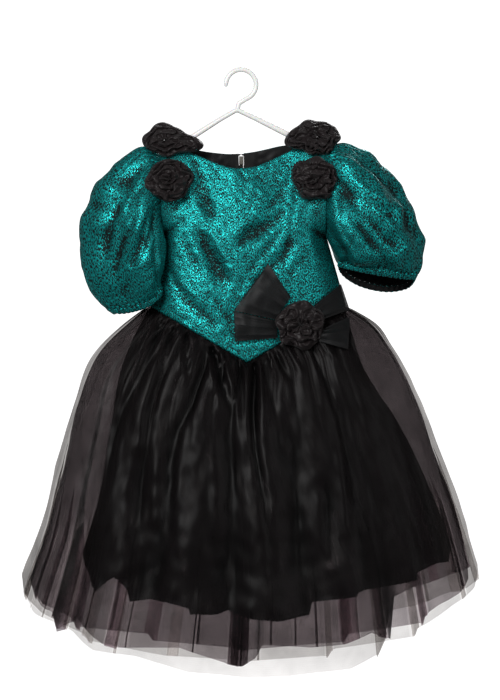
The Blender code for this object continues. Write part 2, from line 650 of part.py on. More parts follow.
def make_rosette(r, carriers):
    """A crumpled mound of petals with its back on the cloth behind it."""
    angles = np.linspace(0, 2 * math.pi, ROSETTE_SECTORS, endpoint=False)
    reach = np.exp(-(((np.degrees(angles) - r.reach_angle + 180) % 360 - 180) / 24) ** 2) * r.reach
    edge = r.radius * (1 + 0.05 * np.cos(ROSETTE_PETALS * angles + r.turn)) + reach
    spots = [(e * share, a) for share in (0.3, 0.6, 0.9) for a, e in zip(angles, edge)]
    xs = [r.x + distance * math.cos(a) for distance, a in spots]
    zs = [r.z + r.tall * distance * math.sin(a) for distance, a in spots]
    a0, bx, cz = plane_behind(xs, zs, carriers)
    bx, cz = np.clip((bx, cz), -MOST_TILT, MOST_TILT)

    def place(distance, angle, rise):
        x, z = r.x + distance * math.cos(angle), r.z + r.tall * distance * math.sin(angle)
        return x, a0 + bx * x + cz * z - rise, z

    points = [place(0, 0, 0)]
    for share in (0.5, 0.93):
        points += [place(e * share, a, 0) for a, e in zip(angles, edge)]
    for k, share in enumerate(np.linspace(1, 0.2, ROSETTE_RINGS)):
        dome = r.thick * math.sqrt(1 - 0.9 * share ** 2) * (0.86 if k % 2 else 1)
        for a, e in zip(angles, edge):
            ruffle = 1 + 0.1 * math.cos(ROSETTE_PETALS * a + 1.9 * k + r.turn)
            points.append(place(e * share, a + 0.12 * k, dome * ruffle))
    points.append(place(0, 0, 0.85 * r.thick))
    sectors, rings = ROSETTE_SECTORS, ROSETTE_RINGS + 2
    faces = [(0, 1 + s, 1 + (s + 1) % sectors) for s in range(sectors)]
    for k in range(rings - 1):
        for s in range(sectors):
            a, b = 1 + k * sectors + s, 1 + k * sectors + (s + 1) % sectors
            faces += [(a, a + sectors, b + sectors), (a, b + sectors, b)]
    last = 1 + (rings - 1) * sectors
    faces += [(last + s, last + sectors, last + (s + 1) % sectors) for s in range(sectors)]
    points = seated(np.array(points), faces, carriers)
    add_mesh(r.name, points, faces, "rosette", 80)


def make_bow():
    """Four loops of ribbon, each folded over at its tip, with their roots under the rosette."""
    carriers = ("bodice_front", "tulle_outer_front")
    turns = np.linspace(-BOW_TURN, BOW_TURN, BOW_ROWS)
    for loop in BOW:
        root_a, root_b, tip_a, tip_b = map(np.array, loop[1:5])
        widths = np.linspace(0, 1, BOW_COLUMNS)
        if tip_a[0] > root_a[0]:
            widths = widths[::-1]
        grid = np.zeros((BOW_ROWS, BOW_COLUMNS, 3))
        for c, w in enumerate(widths):
            root, tip = root_a + w * (root_b - root_a), tip_a + w * (tip_b - tip_a)
            for r, turn in enumerate(turns):
                x, z = root + (0.5 + 0.5 * math.cos(turn)) * (tip - root)
                full = loop.bulge * (0.75 + 0.25 * math.sin(math.pi * w))
                grid[r, c] = x, -full / 2 * (1 - math.sin(turn)), z
        a0, bx, cz = plane_behind(grid[..., 0].ravel(), grid[..., 2].ravel(), carriers)
        grid[..., 1] += a0 + bx * grid[..., 0] + cz * grid[..., 2]
        rows = BOW_ROWS * BOW_COLUMNS
        faces = [(i, i + 1, i + BOW_COLUMNS) for i in range(rows - BOW_COLUMNS - 1)]
        cloth(loop.name, seated(grid.reshape(-1, 3), faces, carriers).reshape(grid.shape),
              SKIRT_WALL, "organza")


# Zip

def zip_plane_y(z):
    """The middle of the zip's thickness at the centre back."""
    return float(bodice_y(np.array(zip_x(z)), np.array(z), 1)) - ZIP_PLANE


def make_zip():
    top = -123.5
    for name, ends in (("zip_tape_left", (-TAPE_INNER, -TAPE_OUTER)),
                       ("zip_tape_right", (TAPE_OUTER, TAPE_INNER))):
        moved_in = ZIP_PLANE - TAPE_THICK / 2
        grid = back_strip(*ends, top, ZIP_BOTTOM, 3, 14, moved_in)
        cloth(name, grid, TAPE_THICK, "tape")
    chain_top = SLIDER_TOP - WEB - SEAM_GAP - 0.2
    grid = back_strip(CHAIN_HALF, -CHAIN_HALF, chain_top, ZIP_BOTTOM, 2, 14, ZIP_PLANE - CHAIN_THICK / 2)
    cloth("zip_chain", grid, CHAIN_THICK, "tape")
    make_slider()


def make_slider():
    """The slider straddles the chain, and its bridge holds the pull tab outside."""
    y_top, y_low = zip_plane_y(SLIDER_TOP), zip_plane_y(SLIDER_BOTTOM)
    slope = (y_low - y_top) / (SLIDER_TOP - SLIDER_BOTTOM)
    x = float(zip_x((SLIDER_TOP + SLIDER_BOTTOM) / 2))

    def out(z, away):
        return y_top + slope * (SLIDER_TOP - z) + away, z

    near, far = SLIDER_MOUTH / 2, SLIDER_MOUTH / 2 + PLATE
    outline = [
        out(SLIDER_TOP, -far), out(SLIDER_TOP, far), out(SLIDER_BOTTOM, far), out(SLIDER_BOTTOM, near),
        out(SLIDER_TOP - WEB, near), out(SLIDER_TOP - WEB, -near), out(SLIDER_BOTTOM, -near),
        out(SLIDER_BOTTOM, -far),
    ]
    slider = prism("zip_slider", outline, x - SLIDER_HALF, x + SLIDER_HALF, "metal")
    hole_top, hole_low = TAB_AXIS_Z + BRIDGE_RISE / 2, TAB_AXIS_Z - BRIDGE_RISE / 2
    rise = far + BRIDGE_HOLE
    arch = [
        out(hole_top + BRIDGE_WALL, far - 0.5), out(hole_top, far - 0.5), out(hole_top, rise),
        out(hole_low, rise), out(hole_low, far - 0.5), out(hole_low - BRIDGE_WALL, far - 0.5),
        out(hole_low - BRIDGE_WALL, rise + BRIDGE_WALL), out(hole_top + BRIDGE_WALL, rise + BRIDGE_WALL),
    ]
    bridge = prism("slider_bridge", arch[::-1], x - BRIDGE_HALF, x + BRIDGE_HALF, "metal")
    combine(slider, bridge, "UNION")
    make_pull_tab(x, out(TAB_AXIS_Z, far + BRIDGE_HOLE / 2)[0], slope)


def make_pull_tab(x, y, slope):
    """The tab hangs from its top bar, which passes through the bridge. Its origin is the bar's middle."""
    lean = math.atan(slope) + math.radians(1.5)
    half, bar = TAB_THICK / 2, TAB_BAR / 2

    def slab(name, half_width, top, bottom, thick):
        outline = [(thick, top), (thick, bottom), (-thick, bottom), (-thick, top)]
        return prism(name, outline, -half_width, half_width, "metal")

    tab = slab("zip_pull", TAB_HALF, bar, -TAB_LENGTH, half)
    window = slab("tab_window", TAB_WINDOW_HALF, -bar, -TAB_WINDOW, TAB_THICK)
    combine(tab, window, "DIFFERENCE")
    for obj in (tab, window):
        obj.location = (x * METRES, y * METRES, TAB_AXIS_Z * METRES)
        obj.rotation_euler = (lean, 0, 0)


# Hanger

def make_hanger():
    """Two arms moulded in one with the hook, which is a ring open at its lower left."""
    turns = np.linspace(0, 2 * math.pi, HANGER_SIDES, endpoint=False)
    rings = []
    for a in HANGER_ARMS:
        ring = [(a.x, -a.half_y * math.sin(t), a.top - a.half_z + a.half_z * math.cos(t)) for t in turns]
        rings.append(np.array(ring))
    arms = loft("hanger", rings[::-1], "plastic")
    radius = HOOK_INNER + HOOK_WIRE
    centre = (0.0, -HOOK_INNER)
    path = [(-5, -57), (-4.5, -52), (-3, -47)]
    for degrees in np.linspace(-75, 188, 15):
        t = math.radians(degrees)
        path.append((centre[0] + radius * math.cos(t), centre[1] + radius * math.sin(t)))
    path = np.array(path)
    tangent = np.gradient(path, axis=0)
    tangent /= np.linalg.norm(tangent, axis=1, keepdims=True)
    rings = []
    for k, ((px, pz), (tx, tz)) in enumerate(zip(path, tangent)):
        wire = HOOK_WIRE * (0.6 if k == len(path) - 1 else 1)
        ring = [(px + wire * math.cos(t) * -tz, wire * math.sin(t), pz + wire * math.cos(t) * tx)
                for t in turns]
        rings.append(np.array(ring))
    hook = loft("hook", rings, "plastic")
    combine(arms, hook, "UNION")


def face_outwards():
    """Turns every solid's faces out."""
    for obj in bpy.data.objects:
        work = bmesh.new()
        work.from_mesh(obj.data)
        bmesh.ops.recalc_face_normals(work, faces=work.faces)
        work.to_mesh(obj.data)
        work.free()


def main():
    for obj in list(bpy.data.objects):
        bpy.data.objects.remove(obj, do_unlink=True)
    make_bodice()
    make_facings()
    make_sleeves()
    make_skirts()
    for row in ROSETTES:
        side = "left" if row.x < 0 else "right"
        make_rosette(row, ("bodice_front", f"sleeve_{side}"))
    make_bow()
    make_rosette(WAIST_ROSETTE, [loop.name for loop in BOW] + ["bodice_front", "tulle_outer_front"])
    make_zip()
    make_hanger()
    face_outwards()


main()
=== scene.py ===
"""Looks of a flower girl dress on a white plastic hanger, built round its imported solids.

Teal lame bodice and puff sleeves, a taffeta underskirt, two net skirts, crumpled taffeta rosettes,
an organza bow, a zip at the centre back, and the hanger. Tables are in millimetres, in the frame of
the solids: the dress faces -Y, hangs along Z, and the hook's inner top is the origin.
"""

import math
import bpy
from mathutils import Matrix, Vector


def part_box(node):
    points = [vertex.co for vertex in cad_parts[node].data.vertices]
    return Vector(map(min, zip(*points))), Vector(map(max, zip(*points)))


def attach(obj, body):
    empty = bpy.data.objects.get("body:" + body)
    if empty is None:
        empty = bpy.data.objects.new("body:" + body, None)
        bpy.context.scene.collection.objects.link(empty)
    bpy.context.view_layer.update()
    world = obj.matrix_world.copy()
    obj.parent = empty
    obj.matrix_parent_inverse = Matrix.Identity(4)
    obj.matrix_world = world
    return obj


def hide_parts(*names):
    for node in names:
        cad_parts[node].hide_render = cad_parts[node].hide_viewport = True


bl_info = {
    "name": "Flower Girl Dress",
    "version": (1, 0, 0),
    "blender": (4, 5, 0),
    "location": "View3D > Sidebar > Dress",
    "description": "Cloth, trimmings, zip and hanger of a flower girl dress",
    "category": "Object",
}

from collections import namedtuple

import bpy
import numpy as np
from bpy.props import FloatProperty, FloatVectorProperty, IntProperty, PointerProperty
from mathutils import Vector
from mathutils.bvhtree import BVHTree

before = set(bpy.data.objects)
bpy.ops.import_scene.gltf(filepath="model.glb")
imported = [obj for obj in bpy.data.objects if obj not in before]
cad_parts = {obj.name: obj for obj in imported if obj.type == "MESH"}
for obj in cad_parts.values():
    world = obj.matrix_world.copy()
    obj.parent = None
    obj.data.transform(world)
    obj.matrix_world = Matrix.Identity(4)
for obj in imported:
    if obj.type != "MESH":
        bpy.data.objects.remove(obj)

MM = 0.001

# The cloth's own sizes, in millimetres, as in the solids
HALF_SEAM = 0.15
WAIST_GAP = 0.7
LAYER_STEP = 2.0
HOLLOW_FULL, HOLLOW_REACH = 2.4, 7
SHOULDER_LEFT, SHOULDER_RIGHT = (-121.5, -121.0), (126.0, -114.0)
UNDERARM_LEFT, UNDERARM_RIGHT = (-118.0, -246.0), (128.0, -246.0)
WAIST_LEFT, WAIST_RIGHT = (-138.8, -350.5), (157.5, -350.5)
ARMHOLE_FRONT, ARMHOLE_BACK = 38.0, 34.0
BACK_WAIST_DIP = 7.0
NECK_MIDDLE = 0.5
WAIST_MIDDLE = (WAIST_LEFT[0] + WAIST_RIGHT[0]) / 2
WAIST_HALF = (WAIST_RIGHT[0] - WAIST_LEFT[0]) / 2
ZIP_TOP_X, ZIP_WAIST_X = 0.0, 8.0
ZIP_SLOT = 3.9
ZIP_PLANE = 2.6
ZIP_FLAT = 14.0
ZIP_BOTTOM = -346.0

FACING_END, FACING_ZIP, FACING_TALL, FACING_DROP = 76, 4.2, 52, 0.6
HEM_TURN_ROWS = (-1, -6, -12)
TAPE_TOP, TAPE_WIDTH, COIL_TOP = -122.4, 14, -128.6
COIL_REACH, COIL_WIRE = 1.35, 0.28
PER_METRE = 1000

# Rows down and columns across of each piece's grid
BODICE_FRONT_ROWS, BODICE_BACK_ROWS = 130, 120
FRONT_BETWEEN, BACK_BETWEEN = 7, 8
FACING_ROWS, FACING_COLUMNS = 40, 60
SLEEVE_ROWS, CASING_ROWS, SLEEVE_COLUMNS = 92, 16, 216
UNDERSKIRT_ROWS, NET_ROWS, SKIRT_COLUMNS = 100, 96, 640
ROSETTE_ROWS, ROSETTE_COLUMNS = 66, 180
LOOP_ROWS, LOOP_COLUMNS = 64, 40
TAPE_ROWS, TAPE_COLUMNS = 140, 12
COIL_SIDES, COIL_STEPS = 6, 10
ARM_ROWS, BEND_ROWS, HANGER_SIDES = 120, 90, 32

# Small uneven waves: height of the slack, and across and down sizes of slack and of the crinkle
BODICE_SLACK, BODICE_SLACK_SIZE, BODICE_CRINKLE_SIZE = 0.45, (46, 60), (13, 17)
SLEEVE_SLACK, SLEEVE_SLACK_SIZE, SLEEVE_CRINKLE_SIZE = 1.6, (44, 60), (13, 18)
SKIRT_SLACK, SKIRT_SLACK_SIZE, SKIRT_RIPPLE, SKIRT_RIPPLE_SIZE = 1.6, (60, 170), 0.5, (22, 40)

# Bodice: rows crowd at the top, edges roll in, and creases fade out near the edges
BODICE_CROWDING, ROLL_REACH, ROLL_DEPTH = 1.25, 1.6, 1.1
UNDERARM_BELOW, UNDERARM_BAND = 125, 45
CALM_EDGE, LOWEST_CREASE = 30, -446
NECK_STEP, NECK_ROLL, ZIP_EASE = 4.0, 1.4, 8
# Sleeves: puckers at both ends, folds, their echo on the back, and the seam allowance
SLEEVE_PUCKER, HEAD_REACH, CASING_REACH = 2.6, 0.13, 0.1
SLEEVE_FOLD_GAIN, BACK_FOLD_DROP, BACK_FOLD_GAIN = 1.3, 14, 0.8
ALLOWANCE_SIZE, ALLOWANCE_IN = (1, 0.93, 0.97), 4
CASING_ROUND = 1.6
# Skirts: rows crowd at the waist, gathers fade below it, and the top stays calm
SKIRT_CROWDING, SLOW_GATHERS, SLOW_GAIN = 1.15, 46, 1.7
FINE_REACH, SLOW_REACH, GATHER_START, FOLD_START, CALM_TOP = 40, 100, (0, 6), (0, 14), (20, 140)
LEAST_WEIGHT, HEM_LIFT, PLEAT_ROOM = 0.38, 0.9, 0.8
# Rosettes: the step of each lap, and the heights of pleats, large crumples and small ones
LAP_STEP, PETAL_PLEAT, CRUMPLE, SMALL_CRUMPLE = 8.5, 1.5, (4.2, 27), (0.8, 12)
PETAL_LEAN, LEAST_HEIGHT = 2.2, 0.4
LOOP_PLEAT, LOOP_SLACK, LOOP_SLACK_SIZE = 2.6, 0.7, (26, 34)

Point = namedtuple("Point", "x z")
Depth = namedtuple("Depth", "below front back")
Crease = namedtuple("Crease", "x0 z0 x1 z1 width depth")
Fold = namedtuple("Fold", "left right depth open_top path")
Sleeve = namedtuple("Sleeve", "outer_x outer_z inner_x inner_z front back sag tilt lean")
Gather = namedtuple("Gather", "angle width depth")
Section = namedtuple("Section", "fall left right front back")
Hem = namedtuple("Hem", "angle z")
Wave = namedtuple("Wave", "angle width depth start")
Pleat = namedtuple("Pleat", "angle lap out drop start weight")
Rosette = namedtuple("Rosette", "name x z radius tall thick turn winds reach_angle reach")
Loop = namedtuple("Loop", "name root_a root_b tip_a tip_b bulge")
Arm = namedtuple("Arm", "x top half_y half_z")


def rows_of(kind, *rows):
    """A table: its rows, each with its kind's named columns."""
    return tuple(kind(*row) for row in rows)


SHOULDER_LINE = rows_of(
    Point, (-140, -134), (-121.5, -121), (-91, -101.5), (-66, -86.5), (-8, -51), (9, -58.5), (79.5, -91.5),
    (92, -97.5), (126, -114), (142, -122),
)
FRONT_NECK = rows_of(
    Point, (-91, -101.5), (-89.6, -104.5), (-87, -111.5), (-79.5, -118.5), (-61.5, -127), (-37.5, -137),
    (-16.5, -144), (1.5, -145), (22.5, -142), (42, -134), (63, -124), (79.5, -115), (88, -107.5),
    (90.6, -100.8), (92, -97.5),
)
BACK_NECK = rows_of(
    Point, (-91, -101.5), (-89.6, -104.5), (-87, -110.5), (-75, -114.5), (-58.5, -118), (-37.5, -121),
    (-16.5, -122.5), (1.5, -121.5), (15, -120), (37.5, -115.5), (57, -111), (75, -108.5), (88, -106),
    (90.6, -100.8), (92, -97.5),
)
WAIST_POINT = rows_of(
    Point, (-138.8, -350.5), (9.35, -436), (157.5, -350.5),
)
BODY_DEPTH = rows_of(
    Depth, (0, 0.2, 0.2), (1, 3.9, 3.9), (2.5, 5.6, 5.6), (5, 7.2, 7.2), (9, 8.8, 8.6), (20, 12, 11),
    (60, 21, 16), (93, 28, 20), (140, 39, 29), (190, 46, 36), (250, 49, 39), (400, 51, 40),
)
BODICE_CREASES = rows_of(
    Crease, (-66, -165, -39, -226, 9, 5), (-63, -240, -18, -326, 11, 9), (81, -180, 78, -258, 10, -5),
    (70, -209, -3, -262, 10, 6), (88, -240, 20, -330, 11, 5), (-104, -200, -100, -300, 9, -4),
    (20, -160, 30, -230, 14, -4), (-100, -330, -30, -385, 9, 4),
)
BACK_CREASES = rows_of(
    Crease, (70, -165, 40, -226, 11, 5), (60, -230, 24, -320, 12, 7), (-76, -180, -70, -262, 12, -5),
    (-70, -240, -28, -318, 12, 6),
)
# Finer folds of the bodice's front and back: width on each side, depth inward, whether it starts full
BODICE_FOLDS = rows_of(
    Fold, (4, 6, 3.6, 1, ((-80, -116), (-64, -151), (-52, -180), (-37, -230))),
    (5, 8, 2.6, 0, ((-70, -222), (-58, -256), (-40, -308), (-22, -346))),
    (5, 7, 2.6, 0, ((-90, -246), (-74, -278), (-56, -306))),
    (7, 7, -2.0, 0, ((-46, -236), (-24, -276), (4, -316))),
    (6, 8, 4.4, 0, ((84, -162), (79, -200), (77, -232), (70, -264), (60, -306))),
    (6, 9, 3.6, 0, ((76, -156), (49, -196), (16, -234), (-18, -274))),
    (6, 8, 3.4, 0, ((78, -216), (49, -254), (22, -288), (8, -316))),
    (6, 6, 2.0, 0, ((112, -262), (84, -290), (60, -326))),
    (5, 7, 1.8, 0, ((26, -150), (22, -186), (4, -216))),
    (5, 7, 2.4, 0, ((-106, -214), (-100, -244), (-104, -286))),
    (5, 6, 2.4, 0, ((-116, -276), (-98, -318), (-66, -356))),
    (5, 7, 2.2, 0, ((-48, -332), (-20, -372), (0, -414))),
    (6, 7, -1.8, 0, ((60, -196), (20, -226), (-30, -244))),
    (4, 6, 2.0, 0, ((112, -206), (116, -250), (128, -300))),
    (4, 6, -1.6, 0, ((100, -206), (104, -256), (112, -300))),
)
BACK_FOLDS = rows_of(
    Fold, (6, 8, 2.2, 0, ((84, -156), (66, -196), (46, -240))),
    (5, 8, 2.2, 0, ((70, -230), (54, -272), (28, -330))),
    (6, 8, 2.2, 0, ((-88, -168), (-70, -210), (-62, -262))),
    (5, 8, 2.2, 0, ((-78, -232), (-58, -276), (-32, -328))),
    (5, 6, 2.0, 0, ((104, -230), (98, -280), (106, -332))),
    (5, 6, 2.0, 0, ((-104, -232), (-98, -284), (-108, -334))),
)

LEFT_SLEEVE = rows_of(
    Sleeve, (-122, -121, -118.9, -245, 38, 34, 0, 0, 0), (-150, -114, -120.6, -254, 50, 44, 0, 0, 8),
    (-186, -137, -123, -264, 59, 51, 0, 0, 20), (-215, -168, -127, -276, 65, 56, 0, 0, 32),
    (-235, -208, -131, -288, 69, 59, 0, 0, 40), (-242, -250, -135, -297, 68, 58, 0, 0, 46),
    (-239, -290, -139, -301, 62, 55, 2, 0, 50), (-229, -321, -141, -305, 55, 51, 4, 0, 50),
    (-214, -344, -142, -308, 48, 47, 5, 0, 46), (-201, -354, -141, -312, 43, 43, 5, 0, 42),
    (-190, -362, -137, -320, 40, 40, 5, 0, 36),
)
RIGHT_SLEEVE = rows_of(
    Sleeve, (126.5, -114, 128.9, -245, 38, 34, 0, 0, 0), (157, -106, 130.8, -253, 50, 44, 0, 0, -6),
    (190, -121, 134.6, -262, 59, 51, 0, 0, -12), (221, -145, 139, -270, 65, 56, 1, 2, -16),
    (248, -182, 143.5, -276, 69, 59, 3, 4, -18), (266, -220, 147, -279, 68, 59, 6, 6, -18),
    (275, -258, 149, -281, 62, 57, 10, 9, -16), (274, -282, 150, -281.5, 53, 52, 13, 11, -12),
    (269, -295, 150, -282, 41, 45, 15, 12, -8), (264, -301, 149, -284, 34, 38, 15, 12, -6),
    (259, -311, 146, -291, 30, 35, 15, 12, -6),
)
LEFT_GATHERS = rows_of(
    Gather, (12, 13, 5), (47, 13, -7), (82, 14, 6), (112, 13, -8), (150, 14, 6), (200, 14, -6), (240, 14, 7),
    (282, 14, -7), (322, 14, 6),
)
RIGHT_GATHERS = rows_of(
    Gather, (20, 13, -5), (52, 13, 6), (80, 13, -8), (112, 14, 7), (140, 13, -8), (205, 14, 6), (246, 14, -7),
    (286, 14, 6), (328, 14, -6),
)
# Folds of the sleeves that radiate from the rosettes, on the front and on the back
LEFT_SLEEVE_FOLDS = rows_of(
    Fold, (5, 9, 6.0, 1, ((-136, -150), (-152, -178), (-174, -205))),
    (5, 9, 6.5, 0, ((-134, -200), (-146, -246), (-166, -296))),
    (5, 8, 4.5, 1, ((-140, -136), (-180, -162), (-206, -206))),
    (5, 8, 4.0, 0, ((-182, -196), (-206, -250), (-208, -302))),
    (5, 7, 4.0, 0, ((-152, -212), (-180, -262), (-196, -316))),
    (5, 7, -3.5, 0, ((-160, -180), (-190, -226), (-196, -282))),
    (4, 6, 3.5, 0, ((-128, -222), (-140, -262), (-152, -292))),
    (4, 6, 3.0, 0, ((-212, -180), (-228, -226), (-226, -270))),
    (4, 6, -2.5, 0, ((-168, -250), (-182, -290), (-178, -330))),
)
RIGHT_SLEEVE_FOLDS = rows_of(
    Fold, (5, 9, 6.0, 1, ((152, -118), (202, -152), (250, -184))),
    (5, 8, 5.0, 1, ((140, -160), (156, -180), (170, -200))),
    (5, 9, 6.0, 1, ((146, -186), (154, -216), (162, -244))),
    (5, 8, 5.0, 0, ((196, -196), (222, -218), (238, -236))),
    (6, 10, 6.0, 0, ((214, -246), (236, -268), (252, -296))),
    (5, 7, -3.5, 0, ((164, -160), (206, -196), (236, -212))),
    (5, 7, 4.0, 0, ((158, -210), (184, -246), (206, -280))),
    (4, 7, 4.0, 0, ((144, -212), (156, -246), (176, -276))),
    (4, 6, 3.0, 0, ((188, -140), (226, -172), (252, -212))),
    (4, 6, -2.5, 0, ((182, -226), (206, -254), (226, -288))),
)

UNDERSKIRT = rows_of(
    Section, (0, -138.8, 157.5, 50, 40), (0.1, -156, 165, 58, 46), (0.25, -179, 182, 68, 52),
    (0.5, -196, 238, 79, 57), (0.75, -210, 281, 88, 60), (1, -237, 314, 95, 62),
)
TULLE_INNER = rows_of(
    Section, (0, -138.8, 157.5, 50, 40), (0.06, -168, 192, 60, 50), (0.15, -206, 219, 76, 58),
    (0.36, -243, 261, 94, 67), (0.55, -262, 288, 102, 71), (0.77, -284, 318, 110, 75),
    (1, -314, 342, 117, 79),
)
TULLE_OUTER = rows_of(
    Section, (0, -138.8, 157.5, 50, 40), (0.06, -172, 198, 67, 56), (0.15, -211, 225, 84, 66),
    (0.36, -249, 268, 104, 77), (0.55, -272, 298, 116, 83), (0.77, -295, 329, 125, 88),
    (1, -328, 356, 132, 92),
)
# Hems by angle: 180 is the left side, 90 the front, 0 the right side, -90 the back
UNDERSKIRT_HEM = rows_of(
    Hem, (-180, -720), (-152, -742), (-151, -756), (-126, -784), (-125, -776), (-101, -798), (-100, -790),
    (-80, -800), (-60, -790), (-59, -780), (-35, -764), (-34, -752), (-12, -728), (0, -709), (11, -733),
    (37.7, -739), (50.7, -748), (57.4, -756), (58.6, -775), (67.8, -784), (75.8, -787), (76.5, -810),
    (86.5, -820), (95.2, -817), (102, -803), (105.7, -810), (114.3, -810), (114.8, -802), (128.2, -787),
    (137.7, -792), (138.6, -777), (147.4, -755), (155.9, -777), (171, -744), (180, -720),
)
INNER_HEM = rows_of(
    Hem, (-180, -758), (-160, -800), (-144, -822), (-143, -834), (-118, -846), (-117, -856), (-90, -870),
    (-64, -858), (-63, -846), (-38, -828), (-37, -816), (-16, -780), (0, -735), (22.5, -751), (43, -769),
    (49, -784), (50.2, -846), (56.6, -837), (64.8, -853), (74, -858), (87, -853), (88.4, -872), (92.2, -886),
    (96, -882), (108.5, -858), (126, -859), (131.6, -852), (136.5, -837), (143.5, -815), (144.6, -822),
    (151.7, -828), (153, -806), (156.8, -804), (170, -787), (180, -758),
)
OUTER_HEM = rows_of(
    Hem, (-180, -752), (-158, -812), (-136, -846), (-135, -856), (-112, -880), (-90, -888), (-70, -880),
    (-69, -870), (-44, -850), (-43, -838), (-20, -790), (0, -738), (19.7, -772), (33.7, -781), (43.8, -795),
    (52.2, -804), (53.8, -840), (56.2, -867), (64.6, -889), (72.2, -894), (80, -899), (92.3, -901),
    (105.9, -893), (112.3, -882), (120.4, -871), (132.3, -862), (141, -835), (156.7, -811), (173, -784),
    (180, -752),
)
SKIRT_WAVES = rows_of(
    Wave, (14, 6, 6, 0.1), (27, 5, -7, 0.1), (40, 6, 8, 0), (52, 5, -9, 0.05), (64, 6, 7, 0),
    (75, 5, -6, 0.1), (86, 6, 10, 0), (97, 5, -8, 0), (108, 6, 7, 0.05), (120, 6, -9, 0), (132, 6, 9, 0),
    (145, 6, -10, 0), (158, 6, 8, 0.1), (169, 5, -6, 0.1), (193, 6, 6, 0.1), (208, 6, -8, 0),
    (223, 6, 9, 0.05), (238, 6, -8, 0), (254, 6, 8, 0), (270, 6, -7, 0.1), (286, 6, 9, 0), (301, 6, -9, 0),
    (316, 6, 7, 0.05), (332, 6, -8, 0), (346, 6, 6, 0.1),
)
# Creases of the skirts that start at the waist seam, on the front and on the back
SKIRT_FOLDS = rows_of(
    Fold,
    (5, 10, 12, 1, ((-119, -366), (-135, -412), (-154, -455), (-174, -498), (-188, -537), (-196, -576),
     (-206, -640))), (4, 4, -4, 1, ((-128, -362), (-146, -412), (-168, -456), (-188, -500), (-202, -545))),
    (5, 9, 10, 1, ((-103, -376), (-114, -424), (-126, -470), (-138, -510), (-143, -560), (-152, -623),
     (-156, -710))), (3, 4, 6, 1, ((-80, -389), (-83, -428), (-78, -459), (-90, -480))),
    (4, 3, -4, 1, ((-88, -384), (-90, -428), (-86, -462))),
    (9, 8, 11, 1, ((-48, -406), (-60, -451), (-74, -494), (-92, -533), (-102, -576), (-106, -631),
     (-104, -720))), (5, 10, 10, 1, ((-43, -416), (-32, -455), (-22, -490), (-14, -518))),
    (4, 3, -5, 1, ((-52, -406), (-44, -450), (-34, -490), (-26, -512))),
    (4, 4, -5, 1, ((-30, -418), (-16, -460), (-8, -500), (-4, -540))),
    (4, 4, 5, 1, ((0, -434), (2, -480), (1, -520))), (4, 4, -4, 1, ((9, -440), (10, -480), (8, -530))),
    (5, 8, 10, 1, ((19, -438), (17, -506), (20, -560), (31, -623), (42, -690), (48, -760))),
    (5, 8, 7, 1, ((34, -430), (38, -460), (48, -512))), (4, 4, -4, 1, ((28, -434), (28, -470), (34, -520))),
    (4, 6, 7, 1, ((51, -420), (60, -440), (76, -466))), (4, 4, -4, 1, ((66, -412), (80, -436), (96, -456))),
    (3, 7, 10, 1, ((102, -408), (118, -447), (130, -475), (141, -512))),
    (4, 4, -4, 1, ((114, -398), (128, -420), (152, -434))),
    (5, 6, 6, 1, ((146, -362), (170, -420), (190, -460))),
    (10, 14, 8, 0, ((-150, -560), (-156, -620), (-160, -730))),
    (8, 8, -5, 0, ((-128, -540), (-128, -620), (-130, -740))),
    (12, 14, -5, 0, ((-40, -520), (-36, -620), (-30, -740))),
    (10, 14, 7, 0, ((118, -600), (130, -640), (134, -740))),
    (8, 8, -5, 0, ((142, -530), (150, -600), (156, -700))),
    (10, 14, 6, 0, ((190, -500), (222, -590), (246, -700))),
    (10, 12, 6, 0, ((78, -560), (84, -650), (88, -770))),
    (10, 10, 5, 0, ((-206, -520), (-232, -600), (-256, -700))),
    (8, 8, -5, 0, ((226, -470), (268, -580), (304, -690))),
)
SKIRT_BACK_FOLDS = rows_of(
    Fold, (4, 9, 10, 1, ((-110, -362), (-140, -440), (-170, -540), (-186, -620))),
    (4, 8, 9, 1, ((-66, -362), (-76, -430), (-88, -520))),
    (3, 4, -4, 1, ((-86, -362), (-98, -440), (-110, -500))),
    (4, 8, 10, 1, ((-16, -362), (-18, -440), (-26, -540))), (3, 4, -4, 1, ((6, -362), (8, -430), (12, -500))),
    (4, 8, 9, 1, ((36, -362), (44, -440), (58, -530))), (4, 8, 10, 1, ((86, -362), (104, -440), (130, -540))),
    (4, 7, 8, 1, ((128, -360), (160, -430), (190, -520))),
    (8, 12, 8, 0, ((-60, -520), (-66, -620), (-70, -760))),
    (8, 12, 8, 0, ((24, -520), (30, -620), (36, -770))),
    (8, 12, 8, 0, ((150, -540), (184, -640), (210, -740))),
)
